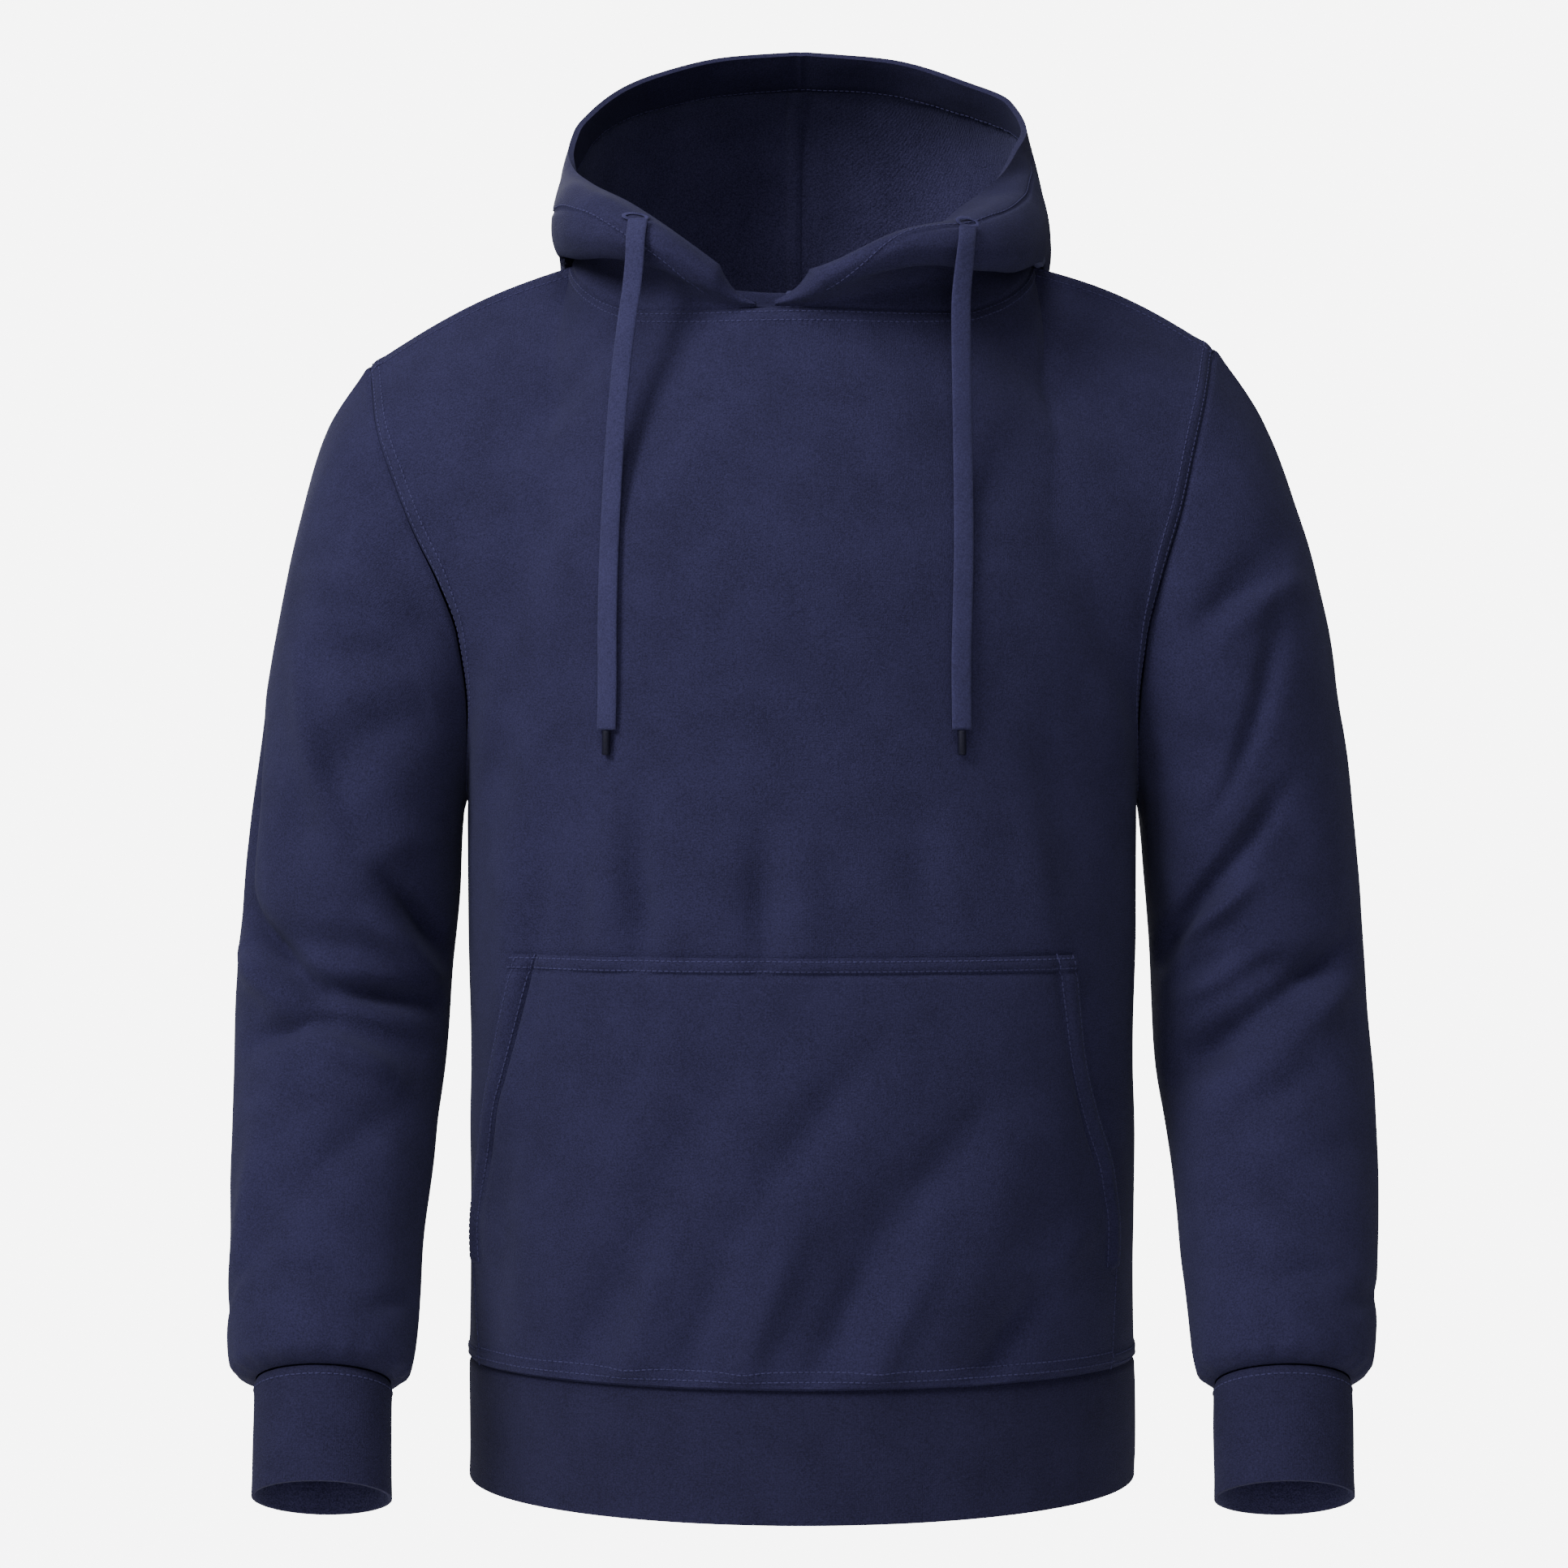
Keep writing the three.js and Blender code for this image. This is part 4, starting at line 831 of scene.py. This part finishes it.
# Camera, in line with the photograph's frame of 1932 pixels
PHOTO_PIXEL_MM = 0.455
CAMERA_FAR = 2.0
CAMERA_X = -0.010
CAMERA_Z = -0.2826
camera_data = bpy.data.cameras.new("camera")
camera_data.type = "PERSP"
camera_data.sensor_width = 36
camera_data.lens = 36 * CAMERA_FAR / (1932 * PHOTO_PIXEL_MM * MM)
camera = bpy.data.objects.new("camera", camera_data)
camera.location = (CAMERA_X, -CAMERA_FAR, CAMERA_Z)
camera.rotation_euler = (math.radians(90), 0, 0)
bpy.context.collection.objects.link(camera)
bpy.context.scene.camera = camera


# Drawstrings: a flat braid of crossing strands, with its bound tip
def cord_line(side):
    stops = [np.array(stop[:3], dtype=float) for stop in CORD_ROUTE[side]]
    slant = through(spread(len(stops) - 1), [stop[3] for stop in CORD_ROUTE[side]])
    return stops, slant


CORD_RINGS = 220
CORD_SIDES = 20


def make_drawstring(side):
    stops, slant = cord_line(side)
    centres = [spline_point(stops, share) for share in spread(CORD_RINGS - 1)]
    deselect()
    bpy.ops.mesh.primitive_cylinder_add(vertices=CORD_SIDES, radius=1, depth=2, end_fill_type="NGON")
    cord = bpy.context.active_object
    cord.name = f"drawstring_{side}_braid"
    bpy.ops.object.mode_set(mode="EDIT")
    bpy.ops.mesh.select_all(action="SELECT")
    cuts = [lerp(-1, 1, share) for share in spread(CORD_RINGS - 1)][1:-1]
    for height in cuts:
        bpy.ops.mesh.select_all(action="SELECT")
        bpy.ops.mesh.bisect(plane_co=(0, 0, height), plane_no=(0, 0, 1))
    bpy.ops.object.mode_set(mode="OBJECT")
    for vertex in cord.data.vertices:
        share = (vertex.co.z + 1) / 2
        ring = share * (CORD_RINGS - 1)
        at = int(round(ring))
        before, after = centres[max(at - 1, 0)], centres[min(at + 1, CORD_RINGS - 1)]
        along = (after - before) / np.linalg.norm(after - before)
        angle = math.radians(slant(share))
        across = np.array([math.cos(angle), math.sin(angle), 0])
        out = np.cross(across, along)
        turn = math.atan2(vertex.co.y, vertex.co.x)
        plait = 0.10 * math.sin(0.9 * at + 5 * math.cos(turn)) + 0.13 * math.cos(11 * math.cos(turn))
        flat = abs(math.sin(turn)) ** 0.7 * math.copysign(1, math.sin(turn))
        thick = CORD_THICK / 2 * 0.86 + plait
        point = centres[at] + across * (CORD_WIDTH / 2) * math.cos(turn) + out * thick * flat
        vertex.co = Vector(point * MM)
    finish_piece(cord, BRAID, [f"drawstring_{side}"])
    tip = make_tip(side, stops)
    return cord


def make_tip(side, stops):
    along = (stops[-1] - stops[-2]) / np.linalg.norm(stops[-1] - stops[-2])
    middle = stops[-1] + along * (0.3 + TIP_LENGTH / 2)
    deselect()
    bpy.ops.mesh.primitive_cylinder_add(vertices=24, radius=TIP_RADIUS * MM, depth=TIP_LENGTH * MM)
    tip = bpy.context.active_object
    tip.name = f"drawstring_{side}_tip"
    bevel = tip.modifiers.new("edges", "BEVEL")
    bevel.width = 0.7 * MM
    bevel.segments = 3
    bpy.ops.object.modifier_apply(modifier=bevel.name)
    turn = Vector((0, 0, -1)).rotation_difference(Vector(along)).to_matrix().to_4x4()
    tip.data.transform(Matrix.Translation(Vector(middle * MM)) @ turn)
    finish_piece(tip, TIP, [f"drawstring_tip_{side}"])
    return tip


def finish_piece(obj, material, nodes=()):
    if material:
        obj.data.materials.clear()
        obj.data.materials.append(material)
        for polygon in obj.data.polygons:
            polygon.use_smooth = True
    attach(obj, "root")
    if nodes:
        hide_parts(*nodes)
    return obj


for cord_side in SIDES:
    make_drawstring(cord_side)


FINE = 1.0


def many(count):
    return max(4, int(count * FINE))


# Height, size and place in the noise of each piece's soft unevenness
RUMPLES = {
    "front_body": [(2.2, 95, 3), (0.9, 34, 5)],
    "back_body": [(2.2, 95, 11), (0.9, 34, 17)],
    "hem_band": [(1.1, 60, 21)],
    "left_sleeve": [(2.4, 80, 32), (0.9, 30, 38)],
    "right_sleeve": [(2.4, 80, 30), (0.9, 30, 36)],
    "left_cuff": [(0.8, 30, 44)],
    "right_cuff": [(0.8, 30, 42)],
    "hood_left": [(1.8, 60, 52), (0.7, 24, 58)],
    "hood_right": [(1.8, 60, 50), (0.7, 24, 56)],
    "pocket": [(1.3, 46, 63)],
}
SLEEVE_WALL = 1.1
GATHERS = 17
POCKET_OPEN_ABOVE_Z = -545
POCKET_HEM = 14
sheets = {}


def start_sheet(node, rows, columns, point_at, facing, tube=False):
    sheet = Sheet(grid_points(rows, columns, point_at), facing, tube)
    sheets[node] = sheet
    return sheet


def rumple_all(sheet, node):
    for height, size, seed in RUMPLES[node]:
        sheet.rumple(height, size, seed)


def place_cloth(node, cut, outside, slot, **options):
    """Makes the cloth from its finished sheet and puts it in place of its solid."""
    sheets[node].measure()
    obj = make_cloth(f"{node}_cloth", sheets[node], outside, INSIDE, **options)
    finish_piece(obj, None, [node])


def make_body_panel(face):
    node = f"{face}_body"
    ways = near_edges(many(150), 0, 2, edge=0.035, extra=5)
    columns = near_edges(many(120), 0, PANEL_COLUMNS, edge=0.7, extra=5)
    sheet = start_sheet(node, ways, columns, lambda way, column: panel_point(face, way, column), 1)
    sheet.soften(ways, 1, 0.1, 60)
    rumple_all(sheet, node)
    sheet.seam(sheet.from_top)
    at_armhole = np.array(ways)[:, None] > 1
    no_seam = 50
    for distance in (sheet.from_first, sheet.from_last):
        sheet.seam(np.where(at_armhole, distance, no_seam))
    sheet.lift(-0.9 * bump(np.minimum(sheet.from_first, sheet.from_last), 1.6))
    sheet.seam(sheet.from_bottom, groove=1.3)
    place_cloth(node, "body", OUTSIDE, "fleece")


def make_hem_band():
    turns = spread(many(300), -90, 270)
    heights = near_edges(many(24), 0, 1, edge=0.08, extra=4)
    sheet = start_sheet("hem_band", heights, turns, hem_point, 1, tube=True)
    rumple_all(sheet, "hem_band")
    sheet.lift(-1.3 * bump(sheet.from_top, SEAM_GROOVE))
    place_cloth("hem_band", "hem_band", BAND, "band")


def make_sleeve(side):
    """The sleeve, gathered into the cuff in small waves."""
    node = f"{side}_sleeve"
    shares = spread(many(120))
    ways = near_edges(many(170), 0, 1, edge=0.02, extra=5)
    sheet = start_sheet(
        node, ways, shares, lambda way, share: sleeve_point(side, way, share), -SIDES[side], tube=True
    )
    rumple_all(sheet, node)
    round_arm = 2 * np.pi * np.array(shares)
    waves = np.sin(round_arm * GATHERS + 0.7 * np.sin(round_arm * 5))
    sheet.lift(0.4 * bump(sheet.from_top, 9, 9) * waves[None, :] * np.clip(sheet.from_top / 6, 0, 1))
    sheet.lift(-1.1 * bump(sheet.from_bottom, SEAM_GROOVE) - 1.3 * bump(sheet.from_top, SEAM_GROOVE))
    place_cloth(node, "sleeve", OUTSIDE, "fleece", thickness=SLEEVE_WALL)


def make_cuff(side):
    node = f"{side}_cuff"
    heights = near_edges(many(24), 0, 1, edge=0.08, extra=4)
    shares = spread(many(120))
    sheet = start_sheet(
        node, heights, shares, lambda down, share: cuff_point(side, down, share), -SIDES[side], tube=True
    )
    rumple_all(sheet, node)
    sheet.lift(-1.2 * bump(sheet.from_bottom, SEAM_GROOVE))
    place_cloth(node, "cuff", BAND, "band")


def make_hood_half(side):
    """Half of the hood, with its turned casing and the groove of the casing's stitching."""
    node = f"hood_{side}"
    sign = SIDES[side]
    turns = near_edges(many(100), V_TURN[side], 180 * sign, edge=3.0, extra=5)
    climbs = near_edges(many(130), 0, 1, edge=0.02, extra=4)
    paths = {turn: hood_path(side, turn) for turn in turns}
    sheet = start_sheet(node, climbs, turns, lambda climb, turn: spline_point(paths[turn], climb), sign)
    rumple_all(sheet, node)
    room = np.clip((sheet.from_bottom[-1:, :] - 60) / 40, 0, 1)
    sheet.lift(-0.9 * room * bump(sheet.from_top, 1.3, CASING_WIDE))
    sheet.lift(-1.0 * bump(sheet.from_bottom, 1.6) - 0.8 * bump(sheet.from_last, 1.6))
    # The halves pass each other a little at the centre seam, so no light comes through
    sheet.points[:, -1, 0] = -0.45 * sign
    place_cloth(node, "hood", OUTSIDE, "fleece", casing=True)


def make_pocket():
    """The pocket, with raised hems at its top and its two hand openings."""
    climbs = near_edges(many(80), 0, 1, edge=0.06, extra=5)
    places = near_edges(many(110), -1, 1, edge=0.05, extra=5)
    sheet = start_sheet("pocket", climbs, places, pocket_point, 1)
    rumple_all(sheet, "pocket")
    nearest = np.minimum(sheet.from_first, sheet.from_last)
    opening = sheet.points[:, :, 2] > POCKET_OPEN_ABOVE_Z
    sheet.lift(1.1 * bump(sheet.from_top, 2.2, 4.6) - 1.7 * bump(sheet.from_top, 1.1, 8))
    sheet.lift(np.where(opening, 2.4 * bump(nearest, 5.0, 6.0), 0) * np.clip(sheet.from_top / 12, 0, 1))
    sheet.seam(sheet.from_bottom, groove=0.3, ridge=0.8)
    sheet.lift(-np.where(opening, 2.0 * bump(nearest, 1.4, POCKET_HEM), 0))
    place_cloth("pocket", "pocket", OUTSIDE, "fleece")


make_body_panel("front")
make_body_panel("back")
make_hem_band()
for side in SIDES:
    make_sleeve(side)
    make_cuff(side)
for side in SIDES:
    make_hood_half(side)
make_pocket()


# Topstitching
def edge_path(sheet, edge, inset, mask=None):
    """Points and normals of the line that runs at this distance inside an edge of a sheet."""
    distance = getattr(sheet, f"from_{edge}")
    along_rows = edge in ("bottom", "top")
    path = []
    for k in range(distance.shape[1] if along_rows else distance.shape[0]):
        line = distance[:, k] if along_rows else distance[k]
        points = sheet.points[:, k] if along_rows else sheet.points[k]
        normals = sheet.normals[:, k] if along_rows else sheet.normals[k]
        if line.max() < inset * 1.5 or (mask is not None and not mask[k]):
            continue
        order = np.argsort(line)
        point = [np.interp(inset, line[order], points[order, a]) for a in range(3)]
        normal = [np.interp(inset, line[order], normals[order, a]) for a in range(3)]
        path.append((np.array(point), np.array(normal)))
    return path


def stitch_row(path):
    """Where each stitch of a row lies: its middle, its direction and the way out of the cloth."""
    places = []
    walked = 0.0
    for (p0, n0), (p1, n1) in zip(path, path[1:]):
        run = p1 - p0
        length = np.linalg.norm(run)
        if length < 1e-6 or length > 30:
            continue
        while walked < length:
            share = walked / length
            places.append((p0 + run * share, run / length, lerp(n0, n1, share)))
            walked += STITCH_STEP
        walked -= length
    return places


def make_stitching(name, places):
    """One small thread float, copied along the rows into one mesh."""
    deselect()
    bpy.ops.mesh.primitive_cube_add(size=1)
    seed = bpy.context.active_object
    seed.scale = (STITCH_LONG, STITCH_WIDE, STITCH_HIGH)
    bpy.ops.object.transform_apply(scale=True)
    round_off = seed.modifiers.new("round", "BEVEL")
    round_off.width = 0.24
    round_off.segments = 1
    bpy.ops.object.modifier_apply(modifier=round_off.name)
    shape = np.array([v.co[:] for v in seed.data.vertices])
    faces = [tuple(p.vertices) for p in seed.data.polygons]
    points, polygons = [], []
    for middle, along, out in places:
        out = out / max(np.linalg.norm(out), 1e-9)
        side = np.cross(out, along)
        side = side / max(np.linalg.norm(side), 1e-9)
        start = len(points)
        points.extend((middle + out * 0.12 + shape @ np.array([along, side, np.cross(along, side)])) * MM)
        polygons.extend(tuple(start + v for v in face) for face in faces)
    mesh = bpy.data.meshes.new(name)
    mesh.from_pydata([tuple(p) for p in points], [], polygons)
    mesh.uv_layers.new(name="cut")
    seed.data = mesh
    seed.name = name
    return finish_piece(seed, THREAD)


def twin_rows(sheet, edge, mask=None):
    return [stitch_row(edge_path(sheet, edge, inset, mask)) for inset in (TWIN_NEAR, TWIN_FAR)]


def stitch_all(piece, rows):
    make_stitching(f"{piece}_stitching", [place for row in rows for place in row])


def stitch_body_panel(face):
    sheet = sheets[f"{face}_body"]
    rows = twin_rows(sheet, "top") + twin_rows(sheet, "bottom")
    above = sheet.points[:, 0, 2] > ARMPIT_Z + 4
    rows += twin_rows(sheet, "first", above) + twin_rows(sheet, "last", above)
    stitch_all(f"{face}_body", rows)


def stitch_hood_half(side):
    """The casing's row shows on both faces of the hood."""
    outer = edge_path(sheets[f"hood_{side}"], "top", CASING_WIDE - 1.5)
    inner = [(point - normal * (CASING_WALL - 0.1), -normal) for point, normal in outer]
    stitch_all(f"hood_{side}", [stitch_row(outer), stitch_row(inner)])


def stitch_pocket():
    pocket = sheets["pocket"]
    opening = pocket.points[:, 0, 2] > POCKET_OPEN_ABOVE_Z
    rows = [stitch_row(edge_path(pocket, "top", inset)) for inset in (1.8, 7.4)]
    rows += [stitch_row(edge_path(pocket, edge, POCKET_HEM - 0.8, opening)) for edge in ("first", "last")]
    rows += [stitch_row(edge_path(pocket, edge, 2.4)) for edge in ("first", "last")]
    stitch_all("pocket", rows + twin_rows(pocket, "bottom"))


stitch_body_panel("front")
stitch_body_panel("back")
for side in SIDES:
    stitch_all(f"{side}_cuff", [stitch_row(edge_path(sheets[f"{side}_cuff"], "bottom", 5))])
    stitch_hood_half(side)
stitch_pocket()


# Stitched eyelets of the drawstrings, and the raised seam inside the hood
EYELET_HALF_WIDE = 6.2
EYELET_HALF_HIGH = 3.4
EYELET_STITCHES = 44


def make_eyelet(side):
    """A ring of stitches round the place where the drawstring comes out of the casing."""
    stops, slant_at = cord_line(side)
    hood = sheets[f"hood_{side}"]
    top = stops[0] + np.array([0, 2.4, 4.5])
    flat = hood.points.reshape(-1, 3)
    nearest = int(np.argmin(np.linalg.norm(flat - top, axis=1)))
    out = hood.normals.reshape(-1, 3)[nearest]
    base = flat[nearest]
    slant = math.radians(slant_at(0))
    across = np.array([math.cos(slant), math.sin(slant), 0])
    across = across - out * np.dot(across, out)
    across /= np.linalg.norm(across)
    up = np.cross(out, across)
    places = []
    for k in range(EYELET_STITCHES):
        turn = 2 * math.pi * k / EYELET_STITCHES
        spoke = across * math.cos(turn) * 1.25 + up * math.sin(turn)
        spoke /= np.linalg.norm(spoke)
        ring = across * EYELET_HALF_WIDE * math.cos(turn) + up * EYELET_HALF_HIGH * math.sin(turn)
        places.append((base + ring + out * 0.35, spoke, out))
    make_stitching(f"eyelet_{side}", places)


for side in SIDES:
    make_eyelet(side)


def make_hood_ridge():
    """The centre seam's allowance inside the hood, pressed to the wearer's right and overlocked."""
    hood = sheets["hood_right"]
    line = hood.points[:, -1]
    normals = hood.normals[:, -1]
    keep = hood.from_top[:, -1] > CASING_WIDE + 1
    line, normals = line[keep], normals[keep]
    profile = [(0.4, 0.2), (-1.0, 1.5), (-4.5, 1.7), (-8.0, 1.3), (-9.0, 0.2)]
    rows = []
    for point, normal in zip(line, normals):
        rows.append([point - normal * (WALL + high) + np.array([x, 0, 0]) for x, high in profile])
    sheet = Sheet(np.array(rows), -1, False)
    obj = make_cloth("hood_centre_seam", sheet, INSIDE, INSIDE, thickness=0.5)
    finish_piece(obj, None)


make_hood_ridge()


# Studio: pale floor and soft light from the front left
FLOOR_WIDE = 5
FLOOR_Z = -1.35
# The camera sees a brighter white behind the garment than the white that lights the cloth
BACKDROP_SEEN = 7.0
BACKDROP_LIGHT = 0.2


def make_stage():
    pale = bpy.data.materials.new("studio white")
    pale.use_nodes = True
    shader = pale.node_tree.nodes["Principled BSDF"]
    shader.inputs["Base Color"].default_value = (0.9, 0.9, 0.9, 1)
    shader.inputs["Roughness"].default_value = 0.9
    deselect()
    bpy.ops.mesh.primitive_plane_add(size=FLOOR_WIDE, location=(0, 0, FLOOR_Z))
    floor = bpy.context.active_object
    floor.name = "studio_floor"
    floor.data.materials.append(pale)


def make_light(name, place, size, power, target=(0, 0, -0.3)):
    data = bpy.data.lights.new(name, "AREA")
    data.shape = "DISK"
    data.size = size
    data.energy = power
    light = bpy.data.objects.new(name, data)
    light.location = place
    light.rotation_euler = (Vector(target) - Vector(place)).to_track_quat("-Z", "Y").to_euler()
    bpy.context.collection.objects.link(light)


make_stage()
make_light("key", (-1.75, -1.55, 1.3), 1.2, 74, target=(0, 0, -0.15))
make_light("front", (0.2, -2.6, -0.1), 1.0, 13)
make_light("top", (-0.15, -1.25, 2.1), 0.9, 26, target=(0, 0.1, 0))
make_light("rear", (-0.8, 2.8, 1.3), 1.6, 85)
world = bpy.data.worlds.new("studio")
world.use_nodes = True
sky = world.node_tree.nodes["Background"]
set_inputs(sky, {"Color": (1, 1, 1, 1), "Strength": BACKDROP_LIGHT})
backdrop = add_node(world.node_tree, "Background", {"Color": (1, 1, 1, 1), "Strength": BACKDROP_SEEN})
rays = add_node(world.node_tree, "LightPath")
chosen = add_node(world.node_tree, "MixShader")
link_nodes(world.node_tree, [
    (rays, "Is Camera Ray", chosen, "Fac"),
    (sky, "Background", chosen, 1),
    (backdrop, "Background", chosen, 2),
    (chosen, "Shader", world.node_tree.nodes["World Output"], "Surface"),
])
bpy.context.scene.world = world
